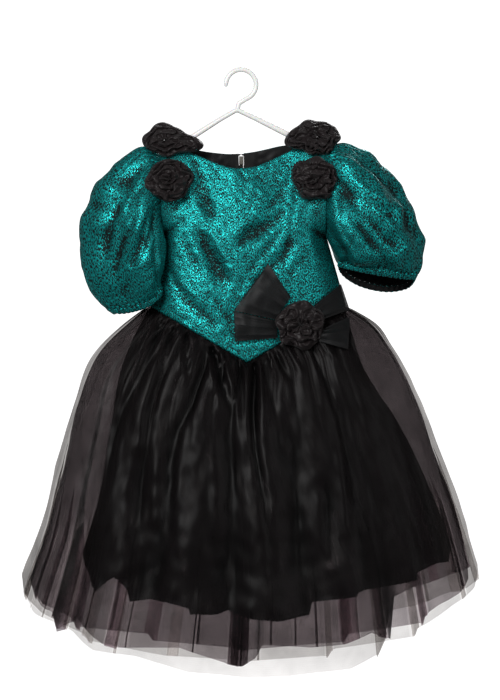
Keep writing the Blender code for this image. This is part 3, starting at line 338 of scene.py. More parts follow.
# Pleats where a hem folds over itself: lap in degrees, how far it stands out, how far it hangs
# below the hem, the share of the fall where it starts, and how dense each of its three layers is.
# A net skirt is several nets hung as one, and most pleats lap only one of them.
UNDERSKIRT_PLEATS = rows_of(
    Pleat, (147, 3, 3, 0, 0.55, 1), (138, 3, 3, 0, 0.5, 1), (114.5, 2.5, 3, 0, 0.55, 1),
    (100, 3, 3, 0, 0.5, 1), (76.2, 3, 3, 0, 0.5, 1), (68, 2.5, 2, 0, 0.6, 1), (58, 3, 3, 0, 0.5, 1),
    (30, 3, 3, 0, 0.5, 1), (-34.5, 3, 3, 0, 0.5, 1), (-59.5, 3, 3, 0, 0.5, 1), (-100.5, 3, 3, 0, 0.5, 1),
    (-125.5, 3, 3, 0, 0.5, 1), (-151.5, 3, 3, 0, 0.5, 1),
)
INNER_PLEATS = rows_of(
    Pleat, (171, 5, 3, 2, 0.5, 0.6), (162, 1.6, 2, 0, 0.55, 0.6), (151, 7, 4, 9, 0.55, 0.44),
    (143.4, 1, 2, 0, 0.6, 0.7), (141, 0.8, 2, 0, 0.6, 0.7), (138.4, 1, 2, 0, 0.55, 0.7),
    (129, 4, 3, 3, 0.55, 0.42), (124.6, 0.7, 2, 0, 0.6, 0.7), (105, 0.5, 2, 0, 0.7, 0.7),
    (95.2, 1.8, 2, 1, 0.45, 0.8), (93.8, 1.4, 3, 1, 0.45, 0.8), (92.4, 1, 3, 0, 0.45, 0.8),
    (90.9, 0.5, 2, 0, 0.5, 0.7), (84.8, 0.5, 2, 0, 0.6, 0.7), (72.4, 0.6, 2, 0, 0.7, 0.7),
    (63, 5, 3, 0, 0.6, 0.44), (53, 2.4, 3, 2, 0.5, 0.6), (43, 1, 2, 0, 0.6, 0.6), (33, 4, 3, 0, 0.55, 0.42),
    (21, 1.4, 2, 0, 0.5, 0.6), (9, 3, 3, 0, 0.5, 0.6), (-14, 3, 3, 0, 0.5, 0.6), (-37, 4, 3, 4, 0.5, 0.42),
    (-52, 0.6, 2, 0, 0.6, 0.7), (-63.5, 4, 3, 0, 0.5, 0.42), (-78, 0.6, 2, 0, 0.6, 0.7),
    (-92, 3, 3, 3, 0.5, 0.6), (-104, 0.6, 2, 0, 0.6, 0.7), (-117.5, 4, 3, 0, 0.5, 0.42),
    (-130, 0.8, 2, 0, 0.6, 0.7), (-143.5, 4, 3, 5, 0.5, 0.42), (-160, 2, 2, 0, 0.5, 0.6),
)
OUTER_PLEATS = rows_of(
    Pleat, (172, 5, 3, 3, 0.35, 0.6), (163, 3, 3, 1, 0.4, 0.6), (154, 1, 2, 0, 0.5, 0.7),
    (145, 3, 3, 3, 0.5, 0.42), (126, 1, 2, 0, 0.55, 0.6), (55, 3, 3, 5, 0.45, 0.42),
    (40, 0.8, 2, 0, 0.6, 0.6), (25, 4, 3, 2, 0.5, 0.42), (12, 3, 3, 3, 0.4, 0.6), (-20, 3, 3, 0, 0.5, 0.6),
    (-43.5, 3, 3, 0, 0.5, 0.42), (-69.5, 2, 3, 3, 0.5, 0.42), (-88, 0.6, 2, 0, 0.6, 0.7),
    (-110, 3, 3, 0, 0.5, 0.42), (-135.5, 3, 3, 4, 0.5, 0.42), (-152, 1, 2, 0, 0.5, 0.6),
    (-168, 3, 3, 0, 0.4, 0.6),
)

ROSETTES = rows_of(
    Rosette, ("rosette_left_upper", -115, -103, 33, 0.74, 27, 0.3, 2.6, -12, 24),
    ("rosette_left_lower", -106.5, -162.5, 34, 0.92, 26, 0.1, 3.1, 200, 3),
    ("rosette_right_upper", 114, -98, 34, 0.8, 27, 0.6, 2.8, 190, 16),
    ("rosette_right_lower", 109.5, -161, 35, 0.92, 26, 0.75, 2.9, 20, 3),
)
WAIST_ROSETTE = Rosette("rosette_waist", 88.5, -379.5, 35, 1, 24, 0.4, 2.5, 40, 2)
BOW = rows_of(
    Loop, ("bow_left_upper", (75, -339), (52.5, -372), (40.5, -288), (-10.5, -358), 13),
    ("bow_left_lower", (54, -373.2), (56, -399), (-11, -359), (-9, -404), 11),
    ("bow_right_upper", (108, -351), (122, -371), (150, -318), (163, -357), 11),
    ("bow_right_lower", (123, -385), (115, -404), (163, -367), (160, -416), 11),
)
BOW_TURN = math.radians(163)

HOOK_INNER, HOOK_WIRE = 19.0, 3.6
HOOK_STEM = ((-5, -57), (-4.7, -54), (-4.5, -52), (-3.8, -49.5), (-3, -47))
HANGER_ARMS = rows_of(
    Arm, (-137, -134.5, 3.2, 3.2), (-133, -131, 4.7, 5.2), (-121.5, -122.7, 4.7, 5.2),
    (-91, -103.3, 4.7, 5.2), (-66, -88, 4.6, 5), (-30, -66, 4.2, 4.2), (-6, -52.5, 4.2, 4),
    (20, -64.5, 4.2, 4.2), (60, -83.5, 4.6, 5), (92, -99.3, 4.7, 5.2), (126, -115.7, 4.7, 5.2),
    (138, -121.5, 4.7, 5.2), (142, -125, 3.2, 3.2),
)


def linear(code):
    """Linear colour of an sRGB hex code."""
    shares = [int(code[k:k + 2], 16) / 255 for k in (1, 3, 5)]
    return tuple(s / 12.92 if s <= 0.04045 else ((s + 0.055) / 1.055) ** 2.4 for s in shares)


class DressSizes(bpy.types.PropertyGroup):
    lame_thickness: FloatProperty(
        name="Lame thickness", description="Thickness of the lame and its lining", default=0.0009,
        unit="LENGTH")
    crinkle: FloatProperty(
        name="Crinkle", description="Height of the lame's small crinkles", default=0.0003,
        unit="LENGTH")
    waist_gathers: IntProperty(
        name="Waist gathers", description="Small pleats all round the waist seam", default=88)
    gather_depth: FloatProperty(
        name="Gather depth", description="How far the waist gathers stand out", default=0.0024,
        unit="LENGTH")
    sleeve_gathers: IntProperty(
        name="Sleeve gathers", description="Small pleats round a sleeve's head and casing", default=42)
    coil_pitch: FloatProperty(
        name="Coil pitch", description="Distance between two turns of the zip's coil", default=0.0014,
        unit="LENGTH")


class DressColours(bpy.types.PropertyGroup):
    lame: FloatVectorProperty(
        name="Lame", description="Metallic threads", subtype="COLOR", default=linear("#0E9C9B"))
    taffeta: FloatVectorProperty(
        name="Taffeta", description="Underskirt and facings", subtype="COLOR",
        default=linear("#0A0A0B"))
    net: FloatVectorProperty(
        name="Net", description="Both net skirts", subtype="COLOR", default=linear("#0D0A0B"))
    organza: FloatVectorProperty(
        name="Organza", description="The bow", subtype="COLOR", default=linear("#0F0F10"))
    rosette: FloatVectorProperty(
        name="Rosettes", description="Crumpled taffeta strips", subtype="COLOR",
        default=linear("#1A1415"))
    hanger: FloatVectorProperty(
        name="Hanger", description="Moulded plastic", subtype="COLOR", default=linear("#F1F1EF"))


# Curves, folds and noise

def spline(xs, ys, at):
    """Values at `at` on a smooth curve through the points (xs, ys)."""
    xs, ys = np.asarray(xs, float), np.asarray(ys, float)
    slopes = np.gradient(ys, xs)
    k = np.clip(np.searchsorted(xs, at) - 1, 0, len(xs) - 2)
    step = xs[k + 1] - xs[k]
    t = np.clip((at - xs[k]) / step, 0, 1)
    ease = t * t * (3 - 2 * t)
    starts = t * (1 - t) ** 2 * step * slopes[k]
    ends = t * t * (t - 1) * step * slopes[k + 1]
    return (1 - ease) * ys[k] + ease * ys[k + 1] + starts + ends


def table(rows, key, value, at):
    """The column `value` of a table, read smoothly along its column `key`."""
    return spline([getattr(r, key) for r in rows], [getattr(r, value) for r in rows], at)


def straight(rows, at, key="x"):
    """The z of a table's points, with straight runs."""
    return np.interp(at, [getattr(p, key) for p in rows], [p.z for p in rows])


def ring(count, mirrored=False):
    """Angles all round, in radians."""
    angles = np.linspace(0, 2 * math.pi, count, endpoint=False)
    return angles[::-1] if mirrored else angles


def from_angle(degrees, angle):
    """How far round each place lies from an angle, in degrees."""
    return (degrees - angle + 180) % 360 - 180


def bell(off, width):
    return np.exp(-((off / width) ** 2))


def smooth_step(low, high, at):
    t = np.clip((at - low) / (high - low), 0, 1)
    return t * t * (3 - 2 * t)


def soft_noise(u, v, size_u, size_v, seed, waves=16):
    """Smooth uneven waves of about unit height, about size_u by size_v from crest to crest."""
    rng = np.random.default_rng(seed)
    total = 0
    for _ in range(waves):
        turn, pace, shift = rng.uniform(0, 2 * math.pi), rng.uniform(0.5, 1.5), rng.uniform(0, 7)
        across = math.cos(turn) * u / size_u + math.sin(turn) * v / size_v
        total = total + np.sin(2 * math.pi * pace * across + shift)
    return total / math.sqrt(waves / 2)


def straight_creases(creases, x, z):
    """The soft troughs of the solid's cloth."""
    total = np.zeros_like(x)
    for c in creases:
        along = np.array([c.x1 - c.x0, c.z1 - c.z0])
        length = np.linalg.norm(along)
        along = along / length
        t = ((x - c.x0) * along[0] + (z - c.z0) * along[1]) / length
        off = (x - c.x0) * along[1] - (z - c.z0) * along[0]
        fade = np.sin(np.pi * np.clip(t, 0, 1)) ** 0.7
        total += c.depth * fade * bell(off, c.width)
    return total


def fold_field(folds, x, z):
    """Depth of creases along paths. Each has a steep side and a soft side, and a rounded bottom."""
    total = np.zeros_like(x)
    for f in folds:
        path = np.array(f.path, float)
        steps = np.linalg.norm(np.diff(path, axis=0), axis=1)
        starts = np.concatenate([[0], np.cumsum(steps)])
        nearest = np.full(x.shape, np.inf)
        side, along = np.zeros_like(x), np.zeros_like(x)
        for (x0, z0), (x1, z1), start, step in zip(path[:-1], path[1:], starts, steps):
            tx, tz = (x1 - x0) / step, (z1 - z0) / step
            run = np.clip((x - x0) * tx + (z - z0) * tz, 0, step)
            dx, dz = x - x0 - run * tx, z - z0 - run * tz
            far = np.hypot(dx, dz)
            closer = far < nearest
            nearest = np.where(closer, far, nearest)
            side = np.where(closer, dx * -tz + dz * tx, side)
            along = np.where(closer, (start + run) / starts[-1], along)
        width = np.where(side > 0, f.right, f.left)
        profile = bell(nearest, width)
        if f.open_top:
            fade = (1 - along) ** 0.75
        else:
            fade = np.sin(np.pi * along) ** 0.8
        total += f.depth * profile * fade
    return total


# Meshes

def lengths(grid, axis):
    """Distance from the grid's edge along an axis, in the units of the grid."""
    steps = np.linalg.norm(np.diff(grid, axis=axis), axis=2)
    start = np.zeros_like(np.take(steps, [0], axis=axis))
    return np.concatenate([start, np.cumsum(steps, axis=axis)], axis=axis)


def outward(grid, closed):
    """Unit normals of a grid whose rows go down and columns go right, as seen from outside."""
    down = np.gradient(grid, axis=0)
    if closed:
        across = np.roll(grid, -1, axis=1) - np.roll(grid, 1, axis=1)
    else:
        across = np.gradient(grid, axis=1)
    normal = np.cross(down, across)
    return normal / np.maximum(np.linalg.norm(normal, axis=2, keepdims=True), 1e-9)


def smoothed(grid, closed, reach):
    """The grid's mean over `reach` rows and columns on every side."""
    ends = ((0, 0), (reach, reach), (0, 0))
    total = np.pad(grid, ends, mode="wrap" if closed else "edge")
    total = np.pad(total, ((reach, reach), (0, 0), (0, 0)), mode="edge")
    width = 2 * reach + 1
    for axis in (0, 1):
        sums = np.cumsum(total, axis=axis)
        first = np.take(sums, range(width - 1, sums.shape[axis]), axis=axis)
        gone = np.take(sums, range(sums.shape[axis] - width), axis=axis)
        gone = np.concatenate([np.zeros_like(np.take(sums, [0], axis=axis)), gone], axis=axis)
        total = (first - gone) / width
    return total


def hollows(grid, closed, reach=HOLLOW_REACH):
    """How deep each point lies in a crease, from 0 on open cloth to 1 in a deep one."""
    soft = smoothed(grid, closed, reach)
    depth = ((soft - grid) * outward(soft, closed)).sum(axis=2)
    return np.clip(depth / HOLLOW_FULL, 0, 1)


def unit(vectors):
    return vectors / np.linalg.norm(vectors, axis=1, keepdims=True)


def grid_faces(rows, columns, closed, first=0):
    steps = columns if closed else columns - 1
    r, c = np.meshgrid(np.arange(rows - 1), np.arange(steps), indexing="ij")
    right = (c + 1) % columns
    corners = [r * columns + c, (r + 1) * columns + c, (r + 1) * columns + right, r * columns + right]
    return first + np.stack(corners, axis=-1).reshape(-1, 4)


def add_mesh(name, points, faces, material, body="dress"):
    """One smooth object from points in mm, riding on its body."""
    mesh = bpy.data.meshes.new(name)
    mesh.from_pydata((np.asarray(points, float).reshape(-1, 3) * MM).tolist(), [], faces.tolist())
    mesh.shade_smooth()
    mesh.materials.append(material)
    obj = bpy.data.objects.new(name, mesh)
    bpy.context.scene.collection.objects.link(obj)
    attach(obj, body)
    return obj


def closed_loop(grid, closed):
    return np.concatenate([grid, grid[:, :1]], axis=1) if closed else grid


def add_cloth(name, grid, material, nodes, closed=False, thickness=0.0,
              lining=None, marks=None):
    """A sheet of cloth from a grid, with its cut laid out in metres as a UV map."""
    rows, columns = grid.shape[:2]
    obj = add_mesh(name, grid, grid_faces(rows, columns, closed), material)
    loop = closed_loop(grid, closed)
    across = lengths(loop, 1).max(axis=0) * MM
    down = lengths(grid, 0).mean(axis=1) * MM
    r, c = np.meshgrid(np.arange(rows - 1), np.arange(loop.shape[1] - 1), indexing="ij")
    u = np.stack([across[c], across[c], across[c + 1], across[c + 1]], axis=-1)
    v = -np.stack([down[r], down[r + 1], down[r + 1], down[r]], axis=-1)
    layer = obj.data.uv_layers.new(name="cut")
    layer.data.foreach_set("uv", np.stack([u, v], axis=-1).astype(np.float32).ravel())
    for key, values in (marks or {}).items():
        attribute = obj.data.attributes.new(key, "FLOAT", "POINT")
        attribute.data.foreach_set("value", values.astype(np.float32).ravel())
    if thickness:
        shell = obj.modifiers.new("shell", "SOLIDIFY")
        shell.thickness, shell.offset = thickness, -1
        if lining:
            obj.data.materials.append(lining)
            shell.material_offset = 1
    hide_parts(*nodes)
    flat, area = cut_of(grid, loop)


def cut_of(grid, loop):
    """(width, length) of a grid's cloth and its area, in metres and square metres."""
    width, length = lengths(loop, 1)[:, -1].max() * MM, lengths(grid, 0)[-1].max() * MM
    a, b, c, d = loop[:-1, :-1], loop[1:, :-1], loop[1:, 1:], loop[:-1, 1:]
    halves = (np.linalg.norm(np.cross(one - a, two - a), axis=2) for one, two in ((b, c), (c, d)))
    return (width, length), min(sum(halves).sum() / 2 * MM * MM, width * length)


def add_lame(node_name, grid, closed=False, reach=HOLLOW_REACH):
    """A lame piece with its black lining inside."""
    materials = bpy.data.materials
    add_cloth(f"{node_name}_cloth", grid, materials["woven_lame"], [node_name],
              closed, bpy.context.scene.dress_sizes.lame_thickness,
              materials["lining_taffeta"], {"hollow": hollows(grid, closed, reach)})


# Materials

def new_material(name):
    material = bpy.data.materials.new(name)
    material.use_nodes = True
    material.node_tree.nodes.clear()
    return material, material.node_tree


def node(tree, kind, inputs=None, output=0, **settings):
    """Adds a node with its settings, sets or links its inputs, and returns one of its outputs."""
    made = tree.nodes.new(kind)
    for key, value in settings.items():
        setattr(made, key, value)
    for socket, value in (inputs or {}).items():
        if isinstance(value, bpy.types.NodeSocket):
            tree.links.new(value, made.inputs[socket])
        else:
            made.inputs[socket].default_value = value
    return made.outputs[output]


def place_on(tree, kind, scale=None):
    """Places on the cloth's cut ("UV") or in the object ("Object"), in metres unless scaled."""
    place = node(tree, "ShaderNodeTexCoord", output=kind)
    return node(tree, "ShaderNodeMapping", {"Vector": place, "Scale": scale}) if scale else place


def noise(tree, place, scale, detail):
    return node(tree, "ShaderNodeTexNoise", {"Vector": place, "Scale": scale, "Detail": detail}, "Fac")


def point_mark(tree, name):
    """A value that the mesh carries at its points."""
    return node(tree, "ShaderNodeAttribute", output="Fac", attribute_name=name)


def maths(tree, operation, *values, **settings):
    return node(tree, "ShaderNodeMath", dict(enumerate(values)), operation=operation, **settings)


def spread(tree, value, low, high, at_low, at_high):
    """Turns the range from low to high into the one from at_low to at_high."""
    return node(tree, "ShaderNodeMapRange", {
        "Value": value, "From Min": low, "From Max": high, "To Min": at_low, "To Max": at_high})


def bump(tree, height, strength, distance):
    return node(tree, "ShaderNodeBump", {"Height": height, "Strength": strength, "Distance": distance})


def ramp(tree, factor, *stops):
    """A colour ramp through (place, colour) stops."""
    result = node(tree, "ShaderNodeValToRGB", {"Fac": factor}, "Color")
    elements = result.node.color_ramp.elements
    while len(elements) < len(stops):
        elements.new(0.5)
    for element, (place, colour) in zip(elements, stops):
        element.position, element.color = place, (*colour, 1)
    return result


def times(colour, share, more=0.0):
    return tuple(min(1, c * share + more) for c in colour)


def painted_shade_in_hollows(tree, tint):
    """The colour with painted shade: nearly black in the depth of a crease, where little light comes out
    again.
    """
    return node(tree, "ShaderNodeMix", {
        "Factor": point_mark(tree, "hollow"), "A": tint, "B": (0.0006, 0.0005, 0.0006, 1)},
        "Result", data_type="RGBA")


def finish_material(material, shader):
    output = material.node_tree.nodes.new("ShaderNodeOutputMaterial")
    material.node_tree.links.new(shader, output.inputs["Surface"])
    return material


def principled(material, inputs):
    """Finishes a material that has one principled surface."""
    return finish_material(material, node(material.node_tree, "ShaderNodeBsdfPrincipled", inputs))


def woven_lame(colour):
    """Crinkled lame: flat metallic threads flash teal in short dashes, on a ground that stays black."""
    material, tree = new_material("woven_lame")
    # Each dash is about 1.2 mm by 2 mm, coarser than the real threads so that it shows
    dashes = noise(tree, place_on(tree, "UV", (600, 370, 1)), 1.0, 1.0)
    # Patches of about 12 mm where more or fewer threads face up
    patches = noise(tree, place_on(tree, "UV"), 80.0, 2.0)
    patches_and_painted_shade = maths(tree, "MULTIPLY_ADD", patches, 0.1, -0.05)
    # Painted shade: in the hollow of a crease the colour is darkened towards the black ground
    patches_and_painted_shade = maths(tree, "MULTIPLY_ADD", point_mark(tree, "hollow"), -0.14, patches_and_painted_shade)
    flash_and_painted_shade = maths(tree, "ADD", dashes, patches_and_painted_shade)
    tint = ramp(tree, flash_and_painted_shade, (0.455, times(colour, 0.02)), (0.5, times(colour, 0.3)), (0.54, colour),
                (0.62, times(colour, 1.2, 0.006)))
    return principled(material, {
        "Base Color": tint, "Metallic": spread(tree, flash_and_painted_shade, 0.4, 0.6, 0.2, 0.9),
        "Roughness": spread(tree, flash_and_painted_shade, 0.4, 0.6, 0.7, 0.38), "Specular IOR Level": 0.25,
        "Normal": bump(tree, dashes, 0.8, 0.0006)})


def woven_taffeta(name, colour, sheen, roughness):
    """Woven taffeta: tight plain weave, near black, with soft broad highlights along the folds."""
    material, tree = new_material(name)
    # Slubs of about 1.5 mm by 12 mm stand for threads of 0.15 mm, which are too fine to show
    slubs = noise(tree, place_on(tree, "UV", (660, 85, 1)), 1.0, 2.0)
    haze = noise(tree, place_on(tree, "UV"), 35.0, 3.0)
    tint = ramp(tree, haze, (0.3, times(colour, 0.6)), (0.7, times(colour, 1.5)))
    # The base colour carries painted shade, nearly black in the creases
    return principled(material, {
        "Base Color": painted_shade_in_hollows(tree, tint), "Specular IOR Level": 0.28,
        "Roughness": spread(tree, slubs, 0.3, 0.7, roughness - 0.06, roughness + 0.08),
        "Normal": bump(tree, slubs, 0.35, 0.0003), "Sheen Weight": sheen, "Sheen Roughness": 0.4})


def knitted_net(name, colour, cover, passing, gleam):
    """Knitted net: soft holes let most light through, and it darkens wherever folds bunch it."""
    material, tree = new_material(name)
    place = place_on(tree, "UV")
    # The holes are 1.2 mm wide and too fine to show, so they are drawn as faint 3 mm cells
    cells = node(tree, "ShaderNodeTexVoronoi", {"Vector": place, "Scale": 330.0, "Randomness": 0.35},
                 "Distance", feature="DISTANCE_TO_EDGE")
    layers = maths(tree, "MULTIPLY", point_mark(tree, "bunching"), spread(tree, cells, 0.0, 0.3, 1.08, 0.94))
    uneven = spread(tree, noise(tree, place, 26.0, 5.0), 0.3, 0.7, 0.82, 1.18)
    passed = maths(tree, "POWER", 1 - cover, maths(tree, "MULTIPLY", layers, uneven))
    opacity = maths(tree, "SUBTRACT", 1.0, passed, use_clamp=True)
    # The threads' colour carries painted shade, nearly black in the creases
    threads = node(tree, "ShaderNodeBsdfPrincipled", {
        "Base Color": painted_shade_in_hollows(tree, (*colour, 1)), "Roughness": 0.38, "Sheen Weight": 0.02,
        "Sheen Roughness": 0.5, "Specular IOR Level": gleam})
    holes = node(tree, "ShaderNodeBsdfTransparent", {"Color": (*passing, 1)})
    return finish_material(material, node(tree, "ShaderNodeMixShader", {0: opacity, 1: holes, 2: threads}))


def crisp_organza(colour):
    """Crisp organza: fine sheer threads, near black in two layers and smoky in one."""
    material, tree = new_material("crisp_organza")
    threads = noise(tree, place_on(tree, "UV", (500, 60, 1)), 1.0, 2.0)
    return principled(material, {
        "Base Color": (*colour, 1), "Roughness": 0.5, "Alpha": spread(tree, threads, 0.3, 0.7, 0.72, 0.86),
        "Normal": bump(tree, threads, 0.3, 0.0003), "Sheen Weight": 0.03, "Sheen Roughness": 0.5,
        "Specular IOR Level": 0.2})


def moulded_polystyrene(colour):
    """Injection moulded polystyrene: white, smooth and glossy, with a faint flow of the mould."""
    material, tree = new_material("moulded_polystyrene")
    flow = noise(tree, place_on(tree, "Object"), 60.0, 2.0)
    return principled(material, {
        "Base Color": (*colour, 1), "Roughness": spread(tree, flow, 0.3, 0.7, 0.24, 0.36),
        "Normal": bump(tree, flow, 0.1, 0.0004), "IOR": 1.59, "Subsurface Weight": 0.1,
        "Subsurface Scale": 0.004})


def plated_zinc():
    """Die-cast zinc, nickel plated: warm grey metal, worn brighter where it is handled."""
    material, tree = new_material("plated_zinc")
    wear = noise(tree, place_on(tree, "Object"), 700.0, 3.0)
    return principled(material, {
        "Base Color": ramp(tree, wear, (0.35, linear("#8C8881")), (0.7, linear("#C9C5BC"))),
        "Metallic": 1.0, "Roughness": spread(tree, wear, 0.3, 0.7, 0.4, 0.22)})


def woven_tape():
    """Woven polyester tape: flat ribs about 0.8 mm apart, matt black."""
    material, tree = new_material("woven_tape")
    ribs = node(tree, "ShaderNodeTexWave", {
        "Vector": place_on(tree, "Object"), "Scale": 400.0, "Distortion": 0.4}, "Fac", bands_direction="Z")
    return principled(material, {
        "Base Color": ramp(tree, ribs, (0.2, linear("#0B0B0C")), (0.8, linear("#1C1B1D"))),
        "Roughness": 0.75, "Normal": bump(tree, ribs, 0.4, 0.0002)})


def seamless_paper():
    """Studio paper: plain, matt and almost white."""
    material, tree = new_material("seamless_paper")
    grain = noise(tree, place_on(tree, "Object"), 3.0, 2.0)
    return principled(material, {
        "Base Color": ramp(tree, grain, (0.3, linear("#F4F4F4")), (0.7, linear("#FAFAFA"))),
        "Roughness": 0.9, "Emission Color": (1, 1, 1, 1), "Emission Strength": 0.95})


# Bodice

def zip_x(z):
    """The centre back line."""
    return np.interp(-z, (121, 350), (ZIP_TOP_X, ZIP_WAIST_X))


def side_x(z, left):
    """The x of the bodice's edge: the armhole, then the side seam."""
    tip, underarm, waist = (
        (SHOULDER_LEFT, UNDERARM_LEFT, WAIST_LEFT) if left
        else (SHOULDER_RIGHT, UNDERARM_RIGHT, WAIST_RIGHT)
    )
    return np.interp(-z, (-tip[1], -underarm[1], -waist[1]), (tip[0], underarm[0], waist[0]))


def edge_depth(below, left, depth):
    """How far the armhole stands from Y = 0 below the shoulder."""
    tip, underarm = (SHOULDER_LEFT, UNDERARM_LEFT) if left else (SHOULDER_RIGHT, UNDERARM_RIGHT)
    down = np.clip(below / (tip[1] - underarm[1]), 0, 1)
    return np.maximum(depth * 2 * np.sqrt(down * (1 - down)), HALF_SEAM)


def bodice_y(x, z, side, fine=0.0):
    """The cloth's distance from Y = 0 on the front (side -1) or back (side 1). `fine` adds small folds."""
    left, right = side_x(z, True), side_x(z, False)
    middle, half = (left + right) / 2, (right - left) / 2
    across = np.clip((x - middle) / half, -1, 1)
    below = straight(SHOULDER_LINE, x) - z
    armhole = ARMHOLE_FRONT if side < 0 else ARMHOLE_BACK
    edge = np.where(x < middle, edge_depth(below, True, armhole), edge_depth(below, False, armhole))
    centre = np.interp(
        below, [d.below for d in BODY_DEPTH], [d.front if side < 0 else d.back for d in BODY_DEPTH])
    # The armhole's curl stays in a narrower band towards the underarm
    to_edge = np.abs(across) ** (4 + 4 * bell(below - UNDERARM_BELOW, UNDERARM_BAND))
    depth = centre * (1 - to_edge) + edge * to_edge
    clear = np.clip((below - CALM_EDGE) / CALM_EDGE, 0, 1) * (1 - to_edge)
    clear = clear * np.clip((z - LOWEST_CREASE) / CALM_EDGE, 0, 1)
    if side > 0:
        clear = clear * np.clip((np.abs(x - zip_x(z)) - ZIP_FLAT) / ZIP_FLAT, 0, 1)
    creases, folds = (BODICE_CREASES, BODICE_FOLDS) if side < 0 else (BACK_CREASES, BACK_FOLDS)
    total = straight_creases(creases, x, z)
    if fine:
        total = total + fold_field(folds, x, z)
        total = total + BODICE_SLACK * soft_noise(x, z, *BODICE_SLACK_SIZE, 11 + side)
        total = total + PER_METRE * fine * soft_noise(x, z, *BODICE_CRINKLE_SIZE, 31 + side)
    return side * np.maximum(depth - clear * total, HALF_SEAM)


def waist_z(x, side):
    """The waist seam: pointed at the front, almost level at the back."""
    across = np.clip((x - WAIST_LEFT[0]) / (2 * WAIST_HALF), 0, 1)
    level = WAIST_LEFT[1] - BACK_WAIST_DIP * np.sin(np.pi * across)
    return np.where(side < 0, straight(WAIST_POINT, x), level)


def panel_xs(knots, between):
    """Places between knots, more of them where the knots crowd."""
    at = np.linspace(0, len(knots) - 1, between * (len(knots) - 1) + 1)
    return np.interp(at, np.arange(len(knots)), knots)


def bodice_panel(xs, neck, side, rows, crinkle):
    """A panel hung from its top edge: each column runs down to the waist, and its edges roll in."""
    line, curve = straight(SHOULDER_LINE, xs), table(neck, "x", "z", xs)
    tops = np.where((xs > neck[0].x) & (xs < neck[-1].x), curve, line)
    falls = np.linspace(0, 1, rows) ** BODICE_CROWDING
    share = (xs - SHOULDER_LEFT[0]) / (SHOULDER_RIGHT[0] - SHOULDER_LEFT[0])
    foot = np.interp(xs, (SHOULDER_LEFT[0], NECK_MIDDLE, SHOULDER_RIGHT[0]),
                     (WAIST_LEFT[0], WAIST_MIDDLE, WAIST_RIGHT[0]))
    foot_share = (foot - WAIST_LEFT[0]) / (2 * WAIST_HALF)
    level = SHOULDER_LEFT[1] + (SHOULDER_RIGHT[1] - SHOULDER_LEFT[1]) * share
    v = falls[:, None]
    z = tops + v * (waist_z(foot, side) - tops)
    across = share + v * (foot_share - share)
    lines = level + v * (WAIST_LEFT[1] - level)
    x = side_x(lines, True) * (1 - across) + side_x(lines, False) * across
    y = bodice_y(x, z, side, crinkle)
    down = lengths(np.stack([x, y, z], axis=2), 0)
    from_end = np.minimum(down, down[-1] - down)
    rolled = np.exp(-from_end / ROLL_REACH) * ROLL_DEPTH
    y = side * np.maximum(side * y - rolled, HALF_SEAM)
    return np.stack([x, y, z], axis=2)


class DRESS_OT_bodice(bpy.types.Operator):
    """Make the front and the two backs of the bodice."""

    bl_idname = "dress.bodice"
    bl_label = "Bodice"

    def execute(self, context):
        sizes, colours = context.scene.dress_sizes, context.scene.dress_colours
        woven_lame(tuple(colours.lame))
        woven_taffeta("lining_taffeta", tuple(colours.taffeta), 0.05, 0.6)
        left_neck = FRONT_NECK[0].x + np.array((0, NECK_ROLL, NECK_STEP))
        right_neck = FRONT_NECK[-1].x - np.array((NECK_STEP, NECK_ROLL, 0))
        left_strap = np.array([SHOULDER_LEFT[0], (SHOULDER_LEFT[0] + FRONT_NECK[0].x) / 2])
        right_strap = np.array([(SHOULDER_RIGHT[0] + FRONT_NECK[-1].x) / 2, SHOULDER_RIGHT[0]])
        middle = np.linspace(left_neck[-1], right_neck[0], 15)[1:-1]
        knots = np.concatenate([left_strap, left_neck, middle, right_neck, right_strap])
        grid = bodice_panel(panel_xs(knots, FRONT_BETWEEN), FRONT_NECK, -1, BODICE_FRONT_ROWS, sizes.crinkle)
        add_lame("bodice_front", grid)
        near = np.linspace(ZIP_TOP_X - ZIP_SLOT, left_neck[-1], 7)[:-1]
        left = np.concatenate([near, left_neck[::-1], left_strap[::-1]])
        near = np.linspace(right_neck[0], ZIP_TOP_X + ZIP_SLOT, 7)[1:]
        right = np.concatenate([right_strap[::-1], right_neck[::-1], near])
        for name, knots, column, sign in (("left", left, 0, -1), ("right", right, -1, 1)):
            grid = bodice_panel(panel_xs(knots, BACK_BETWEEN), BACK_NECK, 1, BODICE_BACK_ROWS, sizes.crinkle)
            # The edge beside the zip is brought to the zip's slot, and the cloth near it follows
            edge = grid[:, column, 0].copy()
            shift = zip_x(grid[:, column, 2]) + sign * ZIP_SLOT - edge
            grid[..., 0] += shift[:, None] * np.exp(-np.abs(grid[..., 0] - edge[:, None]) / ZIP_EASE)
            add_lame(f"bodice_back_{name}", grid)
        return {"FINISHED"}


class DRESS_OT_facings(bpy.types.Operator):
    """Make the black facings inside the back neck."""

    bl_idname = "dress.facings"
    bl_label = "Facings"

    def execute(self, context):
        sizes, colours = context.scene.dress_sizes, context.scene.dress_colours
        taffeta = woven_taffeta("facing_taffeta", tuple(colours.taffeta), 0.1, 0.5)
        for name, ends in (("left", (-FACING_ZIP, -FACING_END)), ("right", (FACING_END, FACING_ZIP))):
            xs = np.linspace(*ends, FACING_COLUMNS)
            falls = np.linspace(0, 1, FACING_ROWS)[:, None]
            depth = FACING_TALL * (1 - 0.35 * (np.abs(xs) / FACING_END) ** 2)
            z = table(BACK_NECK, "x", "z", xs) - FACING_DROP - falls * depth
            x = xs + 0 * falls
            loose = 0.35 * (1 + soft_noise(x, z, 22, 30, 5)) * falls
            y = bodice_y(x, z, 1, sizes.crinkle) - (ZIP_PLANE + 0.8) - loose
            add_cloth(f"facing_{name}_cloth", np.stack([x, y, z], axis=2), taffeta,
                      [f"facing_{name}"])
        return {"FINISHED"}


# Sleeves

